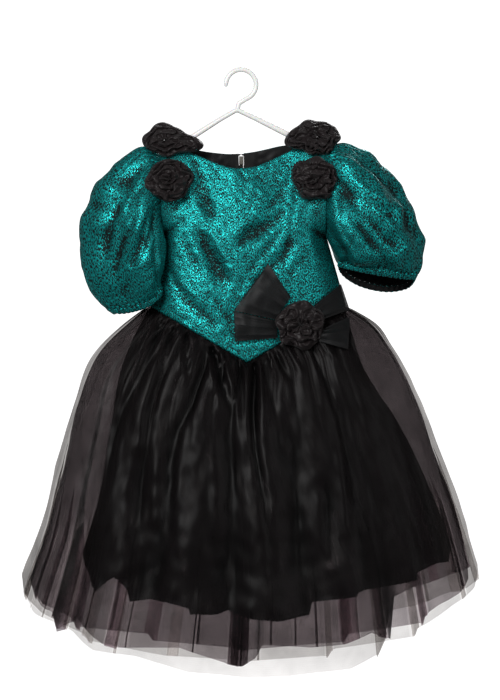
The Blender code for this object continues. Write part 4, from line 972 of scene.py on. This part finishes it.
def sleeve_points(rows, at, angles):
    """Loops at fractional rows of a sleeve's table. Angle 0 is the outer edge, 90 the front."""
    places = np.arange(len(rows))
    value = {k: spline(places, [getattr(r, k) for r in rows], at)[:, None] for k in Sleeve._fields}
    cos, sin = np.cos(angles), np.sin(angles)
    x = (value["outer_x"] + value["inner_x"]) / 2 + cos * (value["outer_x"] - value["inner_x"]) / 2
    x = x + value["lean"] * np.maximum(sin, 0)
    z = (value["outer_z"] + value["inner_z"]) / 2 + cos * (value["outer_z"] - value["inner_z"]) / 2
    z = z - value["sag"] * np.abs(sin) + value["tilt"] * sin
    y = -np.where(sin > 0, value["front"], value["back"]) * sin
    return np.stack([x, y, z], axis=2)


def puckers(angles, count, seed):
    """Uneven small pleats round a ring."""
    rng = np.random.default_rng(seed)
    turn = angles / (2 * math.pi)
    drift = sum(rng.uniform(0.1, 0.3) * np.sin(2 * math.pi * k * turn + rng.uniform(0, 6))
                for k in (2, 3, 5, 7))
    height = 0.75 + 0.25 * np.sin(2 * math.pi * 9 * turn + rng.uniform(0, 6))
    phase = 2 * math.pi * count * turn + 2.2 * drift
    return height * (np.abs(np.sin(phase / 2)) ** 0.7 * 2 - 1)


def sleeve_cloth(rows, gathers, folds, mirrored, sizes, seed):
    """A puff sleeve as loops from the armhole to the casing, gathered at both ends."""
    angles = ring(SLEEVE_COLUMNS, mirrored)
    at = np.linspace(0, len(rows) - 2, SLEEVE_ROWS)
    grid = sleeve_points(rows, at, angles)
    wave = np.zeros(SLEEVE_COLUMNS)
    for g in gathers:
        wave += g.depth * bell(from_angle(np.degrees(angles), g.angle), g.width)
    share = (at / (len(rows) - 2))[:, None]
    fullness = np.sin(np.pi * share) ** 0.8
    near_ends = (np.exp(-share / HEAD_REACH) * smooth_step(0, 0.04, share)
                 + np.exp(-(1 - share) / CASING_REACH))
    small = SLEEVE_PUCKER * puckers(angles, sizes.sleeve_gathers, seed) * near_ends
    x, y, z = np.moveaxis(grid, 2, 0)
    echo = fold_field(folds, x, z + BACK_FOLD_DROP) * BACK_FOLD_GAIN
    dent = np.where(y < 0, fold_field(folds, x, z), echo)
    dent = SLEEVE_FOLD_GAIN * dent * np.abs(np.sin(angles)) ** 0.5
    rough = SLEEVE_SLACK * soft_noise(x + 0.6 * y, z, *SLEEVE_SLACK_SIZE, seed + 1)
    rough = rough + PER_METRE * sizes.crinkle * soft_noise(
        x + 0.7 * y, z - 0.4 * y, *SLEEVE_CRINKLE_SIZE, seed + 2)
    out = wave * fullness + small + fullness * smooth_step(0, 0.1, share) * (rough - dent)
    grid = grid + outward(grid, True) * out[..., None]
    # The seam allowance turns into the bodice
    middle = grid[0].mean(axis=0)
    inward = -ALLOWANCE_IN if mirrored else ALLOWANCE_IN
    allowance = middle + (grid[0] - middle) * ALLOWANCE_SIZE + (inward, 0, 0)
    return np.concatenate([allowance[None], grid])


def casing_cloth(rows, mirrored, sizes, seed):
    """The casing below a sleeve: rounded by its elastic, and puckered less towards its edge."""
    angles = ring(SLEEVE_COLUMNS, mirrored)
    casing = sleeve_points(rows, np.linspace(len(rows) - 2, len(rows) - 1, CASING_ROWS), angles)
    share = np.linspace(0, 1, CASING_ROWS)[:, None]
    small = puckers(angles, sizes.sleeve_gathers, seed) * (
        SLEEVE_PUCKER - 1.2 * np.sin(np.pi * share) - 0.8 * share)
    rounded = CASING_ROUND * np.sin(np.pi * share) ** 0.5
    return casing + outward(casing, True) * (small + rounded)[..., None]


class DRESS_OT_sleeves(bpy.types.Operator):
    """Make the puff sleeves and their elastic casings."""

    bl_idname = "dress.sleeves"
    bl_label = "Sleeves"

    def execute(self, context):
        sizes = context.scene.dress_sizes
        sides = (
            ("left", LEFT_SLEEVE, LEFT_GATHERS, LEFT_SLEEVE_FOLDS, False, 3),
            ("right", RIGHT_SLEEVE, RIGHT_GATHERS, RIGHT_SLEEVE_FOLDS, True, 8),
        )
        for side, rows, gathers, folds, mirrored, seed in sides:
            grid = sleeve_cloth(rows, gathers, folds, mirrored, sizes, seed)
            add_lame(f"sleeve_{side}", grid, True)
            casing = casing_cloth(rows, mirrored, sizes, seed)
            add_lame(f"cuff_{side}", casing, True, 2)
        return {"FINISHED"}


# Skirts

def pleated_angles(pleats, count):
    """Columns round a skirt from 180 to -180 degrees.

    Returns their angles with the pleats open, their angles with the pleats folded, how far each
    stands out, how far it hangs below the hem, and the share of the fall where its pleat starts.
    """
    run, open_run = [0.0], [180.0]
    folded, out, drop, start = [180.0], [0.0], [0.0], [0.5]
    for p in sorted(pleats, key=lambda p: -p.angle):
        before, after = p.angle + p.lap / 2 + PLEAT_ROOM, p.angle - p.lap / 2 - PLEAT_ROOM
        length = [folded[-1] - before, p.lap + PLEAT_ROOM, p.lap, p.lap + PLEAT_ROOM]
        marks = (before, p.angle - p.lap / 2, p.angle + p.lap / 2, after)
        outs, drops = (0, p.out, -p.out, 0), (0, p.drop, p.drop, 0)
        opened = np.interp(np.cumsum([0] + length[1:]), (0, sum(length[1:])), (before, after))
        for step, mark, o, d, flat in zip(length, marks, outs, drops, opened):
            run.append(run[-1] + max(step, 0.01))
            folded.append(mark)
            out.append(o)
            drop.append(d)
            start.append(p.start)
            open_run.append(flat)
    run.append(run[-1] + folded[-1] + 180)
    for values, last in ((open_run, -180), (folded, -180), (out, 0), (drop, 0), (start, 0.5)):
        values.append(last)
    at = np.union1d(np.linspace(0, run[-1], count), run[1:-1])
    return [np.interp(at, run, values) for values in (open_run, folded, out, drop, start)]


def skirt_waves(degrees, drop, fall):
    """How far the gathers stand out or in, growing with the distance from the waist."""
    total = np.zeros_like(degrees)
    for w in SKIRT_WAVES:
        grown = np.clip((fall - w.start) / (1 - w.start), 0, 1) ** 0.6
        total += w.depth * grown * bell(from_angle(degrees, w.angle), w.width)
    return total * np.clip(drop / 120, 0, 1)


def skirt_cloth(sections, hem, pleats, layer, sizes, rows, seed):
    """A whole skirt as a ring of columns, with its waist gathers, creases and folded pleats."""
    opened, folded, out, drop, start = (v[:-1] for v in pleated_angles(pleats, SKIRT_COLUMNS))
    falls = np.linspace(0, 1, rows)[:, None] ** SKIRT_CROWDING
    grown = smooth_step(start, 0.55 + 0.45 * start, falls)
    degrees = opened + (folded - opened) * grown
    cos, sin = np.cos(np.radians(degrees)), np.sin(np.radians(degrees))
    front = sin >= 0
    # Layers lie inside one another at the waist, and hang free below it
    tuck = layer * LAYER_STEP
    at_waist = tuck * np.maximum(0, 1 - falls * 8)
    left, right, depth_front, depth_back = (
        table(sections, "fall", side, falls) + sign * at_waist
        for side, sign in (("left", 1), ("right", -1), ("front", -1), ("back", -1)))
    x = (left + right) / 2 + cos * (right - left) / 2
    mix = np.minimum(1, falls * 4)
    shape = (1 - cos ** 4) * (1 - mix) + np.abs(sin) ** 0.9 * mix
    waist_x = WAIST_MIDDLE + np.cos(np.radians(opened)) * (WAIST_HALF - tuck)
    top = waist_z(waist_x, np.where(opened >= 0, -1, 1)) - WAIST_GAP
    z = top + falls * (straight(hem, degrees, "angle") - drop - top)
    fallen = top - z
    fine = puckers(np.radians(opened), sizes.waist_gathers, 4) * np.exp(-fallen / FINE_REACH)
    slow = puckers(np.radians(opened), SLOW_GATHERS, 9) * np.exp(-fallen / SLOW_REACH)
    strength = PER_METRE * sizes.gather_depth * smooth_step(*GATHER_START, fallen)
    wave = skirt_waves(degrees, fallen, falls) + strength * (fine + SLOW_GAIN * slow)
    dents = np.where(front, fold_field(SKIRT_FOLDS, x, z), fold_field(SKIRT_BACK_FOLDS, x, z))
    wave = wave - dents * smooth_step(*FOLD_START, fallen) * np.abs(sin) ** 0.4
    uneven = SKIRT_SLACK * soft_noise(degrees * 4, z, *SKIRT_SLACK_SIZE, seed)
    uneven = uneven + SKIRT_RIPPLE * soft_noise(degrees * 4, z, *SKIRT_RIPPLE_SIZE, seed + 1)
    wave = wave + uneven * smooth_step(*CALM_TOP, fallen) + out * grown
    y = -np.sign(sin + 1e-9) * np.where(front, depth_front, depth_back) * shape - wave * sin
    x = x + 0.5 * wave * cos
    weight = np.ones_like(x)
    for p in pleats:
        inside = smooth_step(p.lap / 2 + 0.3, p.lap / 2, np.abs(degrees - p.angle))
        weight -= (1 - p.weight) * inside * grown
    return np.stack([x, y, z], axis=2), np.maximum(weight, LEAST_WEIGHT)


def net_bunching(grid, softer=9):
    """How many times denser than laid flat the net is, where folds and gathers draw it together."""
    soft = smoothed(grid, True, softer)
    ahead = np.roll(soft, -1, axis=1) - np.roll(soft, 1, axis=1)
    ahead[..., 2] = 0
    ahead /= np.maximum(np.linalg.norm(ahead, axis=2, keepdims=True), 1e-6)
    step = (np.roll(grid, -1, axis=1) - np.roll(grid, 1, axis=1)) / 2
    full, run = np.linalg.norm(step, axis=2), np.abs((step * ahead).sum(axis=2))
    dense = np.clip(full / np.maximum(run, 0.02), 1, 3.5)
    # The net is drawn in at the waist, to about twice its density at the hem
    drawn_in = np.clip(full[-8:].mean() / np.maximum(full.mean(axis=1, keepdims=True), 0.1), 1, 1.6)
    return (np.roll(dense, 1, axis=1) + 2 * dense + np.roll(dense, -1, axis=1)) / 4 * drawn_in ** 0.5


class DRESS_OT_underskirt(bpy.types.Operator):
    """Make the opaque taffeta underskirt."""

    bl_idname = "dress.underskirt"
    bl_label = "Underskirt"

    def execute(self, context):
        sizes, colours = context.scene.dress_sizes, context.scene.dress_colours
        taffeta = woven_taffeta("woven_taffeta", tuple(colours.taffeta), 0.1, 0.25)
        grid, _ = skirt_cloth(
            UNDERSKIRT, UNDERSKIRT_HEM, UNDERSKIRT_PLEATS, 2, sizes, UNDERSKIRT_ROWS, 21)
        # The hem is turned up inside by about 50 mm
        turn = list(HEM_TURN_ROWS)
        grid = np.concatenate([grid, grid[turn] - outward(grid, True)[turn] * HEM_LIFT])
        add_cloth("underskirt_cloth", grid, taffeta,
                  ["underskirt_front", "underskirt_back"], True,
                  marks={"hollow": hollows(grid, True)})
        return {"FINISHED"}


class DRESS_OT_net_skirts(bpy.types.Operator):
    """Make the inner and the outer net skirt."""

    bl_idname = "dress.net_skirts"
    bl_label = "Net Skirts"

    def execute(self, context):
        sizes, colours = context.scene.dress_sizes, context.scene.dress_colours
        layers = (
            ("inner", TULLE_INNER, INNER_HEM, INNER_PLEATS, 1, 0.58, (1, 0.92, 0.95), 0.12, 23),
            ("outer", TULLE_OUTER, OUTER_HEM, OUTER_PLEATS, 0, 0.37, (1, 0.98, 0.97), 0.1, 25),
        )
        for name, sections, hem, pleats, layer, cover, passing, gleam, seed in layers:
            net = knitted_net(f"knitted_net_{name}", tuple(colours.net), cover, passing, gleam)
            grid, weight = skirt_cloth(sections, hem, pleats, layer, sizes, NET_ROWS, seed)
            marks = {"bunching": weight * net_bunching(grid), "hollow": hollows(grid, True)}
            add_cloth(f"net_skirt_{name}", grid, net,
                      [f"tulle_{name}_front", f"tulle_{name}_back"],
                      True, marks=marks)
        return {"FINISHED"}


# Trimmings

def seat_plane(node_name):
    """The plane y = a + b x + c z of a trimming's flat back, read from its solid."""
    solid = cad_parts[node_name]
    low, high = (np.array(corner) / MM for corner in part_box(node_name))
    tree = BVHTree.FromPolygons(
        [v.co for v in solid.data.vertices], [p.vertices for p in solid.data.polygons])
    rows, ys = [], []
    for x in np.linspace(low[0], high[0], 24):
        for z in np.linspace(low[2], high[2], 24):
            hit = tree.ray_cast(Vector((x * MM, 0.2, z * MM)), Vector((0, -1, 0)))[0]
            if hit is not None:
                rows.append((1, x, z))
                ys.append(hit.y / MM)
    rows, ys = np.array(rows), np.array(ys)
    plane = np.linalg.lstsq(rows, ys, rcond=None)[0]
    close = np.abs(rows @ plane - ys) < 4
    return np.linalg.lstsq(rows[close], ys[close], rcond=None)[0]


def on_seat(plane, x, z, out):
    """Points of a grid that stand out in front of a trimming's seat."""
    return np.stack([x, plane[0] + plane[1] * x + plane[2] * z - out, z], axis=2)


def ridges(u, v, size_u, size_v, seed):
    """Sharp crests with soft hollows between them, from 0 to about 1, as in crumpled cloth."""
    return 1 - np.minimum(1, 1.4 * np.abs(soft_noise(u, v, size_u, size_v, seed, 7)))


def add_rosette(r, material):
    """A strip wound round and lapped over itself, crumpled, and sewn down at its rim."""
    seed = 7 * len(r.name) + int(abs(r.x + r.z))
    angles = ring(ROSETTE_COLUMNS)
    cos, sin = np.cos(angles), np.sin(angles)
    share = np.linspace(1, 0.012, ROSETTE_ROWS)[:, None]
    lumps = 0.06 * soft_noise(cos, sin, 1.1, 1.1, seed)
    edge = r.radius * (1 + lumps) + r.reach * bell(from_angle(np.degrees(angles), r.reach_angle), 26)
    x, z = edge * share * cos, edge * share * sin
    warp = 0.32 * soft_noise(x, z, 26, 26, seed + 1)
    winds = r.winds * (1 - share) + angles / (2 * math.pi) + r.turn + warp
    lap = winds % 1
    # A dome with a sunk middle, stepped down along each lap, pleated and crumpled
    dome = r.thick * (0.42 + 0.5 * (1 - share ** 2) - 0.22 * bell(share, 0.2))
    pleat = soft_noise(angles * 9 + 0 * share, share * 20 + 5 * np.floor(winds), 9, 30, seed + 2, 6)
    step = LAP_STEP * (0.4 + 0.6 * share ** 0.5)
    height = dome - step * (smooth_step(0.05, 1, lap) + 0.3 * np.exp(-lap / 0.06))
    height = height + PETAL_PLEAT * pleat
    for k, (tall, size) in enumerate((CRUMPLE, SMALL_CRUMPLE)):
        height = height + tall * (ridges(x, z, size, size, seed + 3 + k) - 0.5)
    height = np.clip(height * smooth_step(1.01, 0.9, share) ** 0.6, LEAST_HEIGHT, r.thick * 1.04)
    lean = PETAL_LEAN * np.exp(-lap / 0.16) * smooth_step(1, 0.9, share) * smooth_step(0.1, 0.3, share)
    x, z = r.x + x + lean * cos, r.z + r.tall * (z + lean * sin)
    grid = on_seat(seat_plane(r.name), x, z, height)
    faces = grid_faces(ROSETTE_ROWS, ROSETTE_COLUMNS, True)
    obj = add_mesh(f"{r.name}_petals", grid, faces, material)
    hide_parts(r.name)


class DRESS_OT_shoulder_rosettes(bpy.types.Operator):
    """Make the two rosettes on each shoulder."""

    bl_idname = "dress.shoulder_rosettes"
    bl_label = "Shoulder Rosettes"

    def execute(self, context):
        colour = tuple(context.scene.dress_colours.rosette)
        taffeta = woven_taffeta("crumpled_taffeta", colour, 0.08, 0.5)
        for row in ROSETTES:
            add_rosette(row, taffeta)
        return {"FINISHED"}


class DRESS_OT_waist_rosette(bpy.types.Operator):
    """Make the rosette on the bow."""

    bl_idname = "dress.waist_rosette"
    bl_label = "Waist Rosette"

    def execute(self, context):
        add_rosette(WAIST_ROSETTE, bpy.data.materials["crumpled_taffeta"])
        return {"FINISHED"}


def bow_loop(loop):
    """Ribbon from its root, round at the tip and back, with pleats that run out from the root."""
    root_a, root_b, tip_a, tip_b = map(np.array, loop[1:5])
    widths = np.linspace(0, 1, LOOP_COLUMNS)
    turns = np.linspace(-BOW_TURN, BOW_TURN, LOOP_ROWS)[:, None]
    w = widths[::-1] if tip_a[0] > root_a[0] else widths
    out = 0.5 + 0.5 * np.cos(turns)
    root = root_a + w[:, None] * (root_b - root_a)
    tip = tip_a + w[:, None] * (tip_b - tip_a)
    x, z = np.moveaxis(root + out[..., None] * (tip - root), 2, 0)
    depth = -loop.bulge * (0.75 + 0.25 * np.sin(np.pi * w)) / 2 * (1 - np.sin(turns))
    pleats = np.abs(np.sin(np.pi * (4 * w + 0.3 * np.sin(5 * w)))) ** 0.7
    front = smooth_step(-0.2, 0.6, -np.sin(turns))
    slack = LOOP_SLACK * soft_noise(x, z, *LOOP_SLACK_SIZE, 61)
    depth = depth + (LOOP_PLEAT * pleats * np.exp(-out / 0.5) + slack * out) * front
    return on_seat(seat_plane(loop.name), x, z, -np.minimum(depth, 0))


class DRESS_OT_bow(bpy.types.Operator):
    """Make the four loops of the bow."""

    bl_idname = "dress.bow"
    bl_label = "Bow"

    def execute(self, context):
        organza = crisp_organza(tuple(context.scene.dress_colours.organza))
        for loop in BOW:
            add_cloth(f"{loop.name}_ribbon", bow_loop(loop), organza, [loop.name])
        return {"FINISHED"}


# Zip and hanger

class DRESS_OT_zip(bpy.types.Operator):
    """Make the zip's tapes and coil, and finish its slider and pull tab."""

    bl_idname = "dress.zip"
    bl_label = "Zip"

    def execute(self, context):
        tape = woven_tape()
        for name, sign in (("left", -1), ("right", 1)):
            z = np.linspace(TAPE_TOP, ZIP_BOTTOM, TAPE_ROWS)[:, None] + np.zeros(TAPE_COLUMNS)
            # The tapes meet above the slider and spread round it
            inner = np.interp(-z[:, :1], (124.4, 125.4, 138.6, 139.6), (0.5, 3.8, 3.8, 3.1))
            across = inner + np.linspace(0, 1, TAPE_COLUMNS) * (TAPE_WIDTH - inner)
            x = zip_x(z) + sign * across[:, ::sign]
            grid = np.stack([x, bodice_y(x, z, 1) - ZIP_PLANE + 0.5, z], axis=2)
            add_cloth(f"zip_tape_{name}_weave", grid, tape, [f"zip_tape_{name}"],
                      thickness=0.0008)
        self.make_coil(context.scene.dress_sizes.coil_pitch / MM)
        metal = plated_zinc()
        for name in ("zip_slider", "zip_pull"):
            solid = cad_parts[name]
            solid.data.materials.clear()
            solid.data.materials.append(metal)
        return {"FINISHED"}

    def make_coil(self, pitch):
        """Two spirals of nylon whose turns mesh along the centre back."""
        turns = (COIL_TOP - ZIP_BOTTOM) / pitch
        t = np.linspace(0, turns, int(turns * COIL_STEPS))
        tube = ring(COIL_SIDES)[:, None]
        points, faces = [], []
        for k, sign in enumerate((-1, 1)):
            z = COIL_TOP - t * pitch - k * pitch / 2
            x = zip_x(z) + sign * COIL_REACH * (1 + np.cos(2 * math.pi * t))
            y = bodice_y(x, z, 1) - ZIP_PLANE + 0.85 * np.sin(2 * math.pi * t)
            path = np.stack([x, y, z], axis=1)
            ahead = unit(np.gradient(path, axis=0))
            one = unit(np.cross(ahead, (0, 0, 1)))[:, None]
            two = np.cross(ahead[:, None], one)
            tubes = path[:, None] + COIL_WIRE * (np.cos(tube) * one + np.sin(tube) * two)
            points.append(tubes.reshape(-1, 3))
            faces.append(grid_faces(len(path), COIL_SIDES, True, k * len(path) * COIL_SIDES))
        coil = add_mesh("zip_coil", np.concatenate(points), np.concatenate(faces),
                        bpy.data.materials["woven_tape"])
        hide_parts("zip_chain")


def hook_rings(path, radius):
    """Rings round a path in the XZ plane, as a grid of rows along it."""
    ahead = unit(np.gradient(path, axis=0))[:, None]
    cos, sin = np.cos(ring(HANGER_SIDES)), np.sin(ring(HANGER_SIDES))
    radius = radius[:, None]
    x = path[:, :1] - radius * cos * ahead[..., 1]
    z = path[:, 1:] + radius * cos * ahead[..., 0]
    return np.stack([x, radius * sin, z], axis=2)


class DRESS_OT_hanger(bpy.types.Operator):
    """Make the hanger's arms and its hook, moulded in one."""

    bl_idname = "dress.hanger"
    bl_label = "Hanger"

    def execute(self, context):
        plastic = moulded_polystyrene(tuple(context.scene.dress_colours.hanger))
        at = np.linspace(0, len(HANGER_ARMS) - 1, ARM_ROWS)
        places = np.arange(len(HANGER_ARMS))
        x, top, half_y, half_z = (np.interp(at, places, [getattr(a, k) for a in HANGER_ARMS])[:, None]
                                  for k in Arm._fields)
        turns = ring(HANGER_SIDES)
        arms = np.stack([x + 0 * turns, -half_y * np.sin(turns),
                         top - half_z + half_z * np.cos(turns)], axis=2)
        radius = HOOK_INNER + HOOK_WIRE
        bend = np.radians(np.linspace(-75, 188, BEND_ROWS))[2:]
        bend = np.stack([radius * np.cos(bend), -HOOK_INNER + radius * np.sin(bend)], axis=1)
        path = np.concatenate([HOOK_STEM, bend])
        # The hook's wire is as thick as its bend and rounded at its free end
        wire = HOOK_WIRE * np.clip((len(path) - np.arange(len(path))) / 5, 0.15, 1) ** 0.5
        grids = (arms, hook_rings(path, wire))
        faces = [grid_faces(len(grids[0]), HANGER_SIDES, True),
                 grid_faces(len(grids[1]), HANGER_SIDES, True, len(grids[0]) * HANGER_SIDES)]
        moulding = add_mesh("hanger_moulding", np.concatenate([g.reshape(-1, 3) for g in grids]),
                            np.concatenate(faces), plastic)
        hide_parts("hanger")
        return {"FINISHED"}


class DRESS_OT_stage(bpy.types.Operator):
    """Set the camera, the lights and the seamless paper."""

    bl_idname = "dress.stage"
    bl_label = "Stage"

    def execute(self, context):
        scene = context.scene
        camera_data = bpy.data.cameras.new("camera")
        camera_data.sensor_fit = "VERTICAL"
        camera_data.sensor_height = 24
        distance, height = 9.0, 1.05
        camera_data.lens = camera_data.sensor_height * distance / height
        camera_data.clip_end = 100
        camera = bpy.data.objects.new("camera", camera_data)
        camera.location = (0.0135, -distance, -0.417)
        camera.rotation_euler = (math.radians(90), 0, 0)
        scene.collection.objects.link(camera)
        scene.camera = camera
        scene.view_settings.view_transform = "Standard"
        self.make_paper()
        for name, place, size, power in (
            ("key", (-1.5, -3.2, 1.1), 1.3, 105), ("fill", (2.4, -2.6, 0.3), 1.8, 22),
            ("back", (0.8, 3.2, 1.2), 1.6, 45),
        ):
            light_data = bpy.data.lights.new(name, "AREA")
            light_data.size = size
            light_data.energy = power
            light = bpy.data.objects.new(name, light_data)
            light.location = place
            aim = Vector((0, 0, -0.45)) - Vector(place)
            light.rotation_euler = aim.to_track_quat("-Z", "Y").to_euler()
            scene.collection.objects.link(light)
        world = bpy.data.worlds.new("studio")
        world.use_nodes = True
        background = world.node_tree.nodes["Background"]
        background.inputs["Color"].default_value = (1, 1, 1, 1)
        background.inputs["Strength"].default_value = 0.24
        scene.world = world
        return {"FINISHED"}

    def make_paper(self):
        """A floor that curves up into a round wall, open at the top."""
        floor, flat, bend, wall = -1.1, 9.0, 3.0, 4.5
        arc = np.radians(np.linspace(0, 90, 16))
        radii = np.concatenate([[0.01, 1.5, 4.5], flat + bend * np.sin(arc), [flat + bend]])
        heights = np.concatenate([[floor] * 3, floor + bend * (1 - np.cos(arc)), [floor + wall]])
        turns = ring(96)
        points = np.stack([radii[:, None] * np.cos(turns), radii[:, None] * np.sin(turns),
                           heights[:, None] + 0 * turns], axis=2)
        mesh = bpy.data.meshes.new("paper")
        faces = grid_faces(*points.shape[:2], True)
        mesh.from_pydata(points.reshape(-1, 3).tolist(), [], faces.tolist())
        mesh.shade_smooth()
        mesh.materials.append(seamless_paper())
        paper = bpy.data.objects.new("paper", mesh)
        # The paper is bright all round, so it stays out of the soft light on the cloth
        paper.visible_diffuse = paper.visible_glossy = paper.visible_shadow = False
        bpy.context.scene.collection.objects.link(paper)


OPERATORS = (
    DRESS_OT_stage, DRESS_OT_hanger, DRESS_OT_bodice, DRESS_OT_facings, DRESS_OT_sleeves,
    DRESS_OT_underskirt, DRESS_OT_net_skirts, DRESS_OT_shoulder_rosettes, DRESS_OT_bow,
    DRESS_OT_waist_rosette, DRESS_OT_zip,
)


class DRESS_PT_panel(bpy.types.Panel):
    """Lists the dress's sizes, colours and pieces."""

    bl_label = "Flower Girl Dress"
    bl_idname = "DRESS_PT_panel"
    bl_space_type = "VIEW_3D"
    bl_region_type = "UI"
    bl_category = "Dress"

    def draw(self, context):
        for group in (context.scene.dress_sizes, context.scene.dress_colours):
            for name in group.__annotations__:
                self.layout.prop(group, name)
        for operator in OPERATORS:
            self.layout.operator(operator.bl_idname)


CLASSES = (DressSizes, DressColours, *OPERATORS, DRESS_PT_panel)


def register():
    for cls in CLASSES:
        bpy.utils.register_class(cls)
    bpy.types.Scene.dress_sizes = PointerProperty(type=DressSizes)
    bpy.types.Scene.dress_colours = PointerProperty(type=DressColours)


def unregister():
    del bpy.types.Scene.dress_colours
    del bpy.types.Scene.dress_sizes
    for cls in reversed(CLASSES):
        bpy.utils.unregister_class(cls)


def main():
    """Make every piece in order."""
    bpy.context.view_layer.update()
    register()
    for operator in OPERATORS:
        group, name = operator.bl_idname.split(".")
        getattr(getattr(bpy.ops, group), name)()


if __name__ == "__main__":
    main()
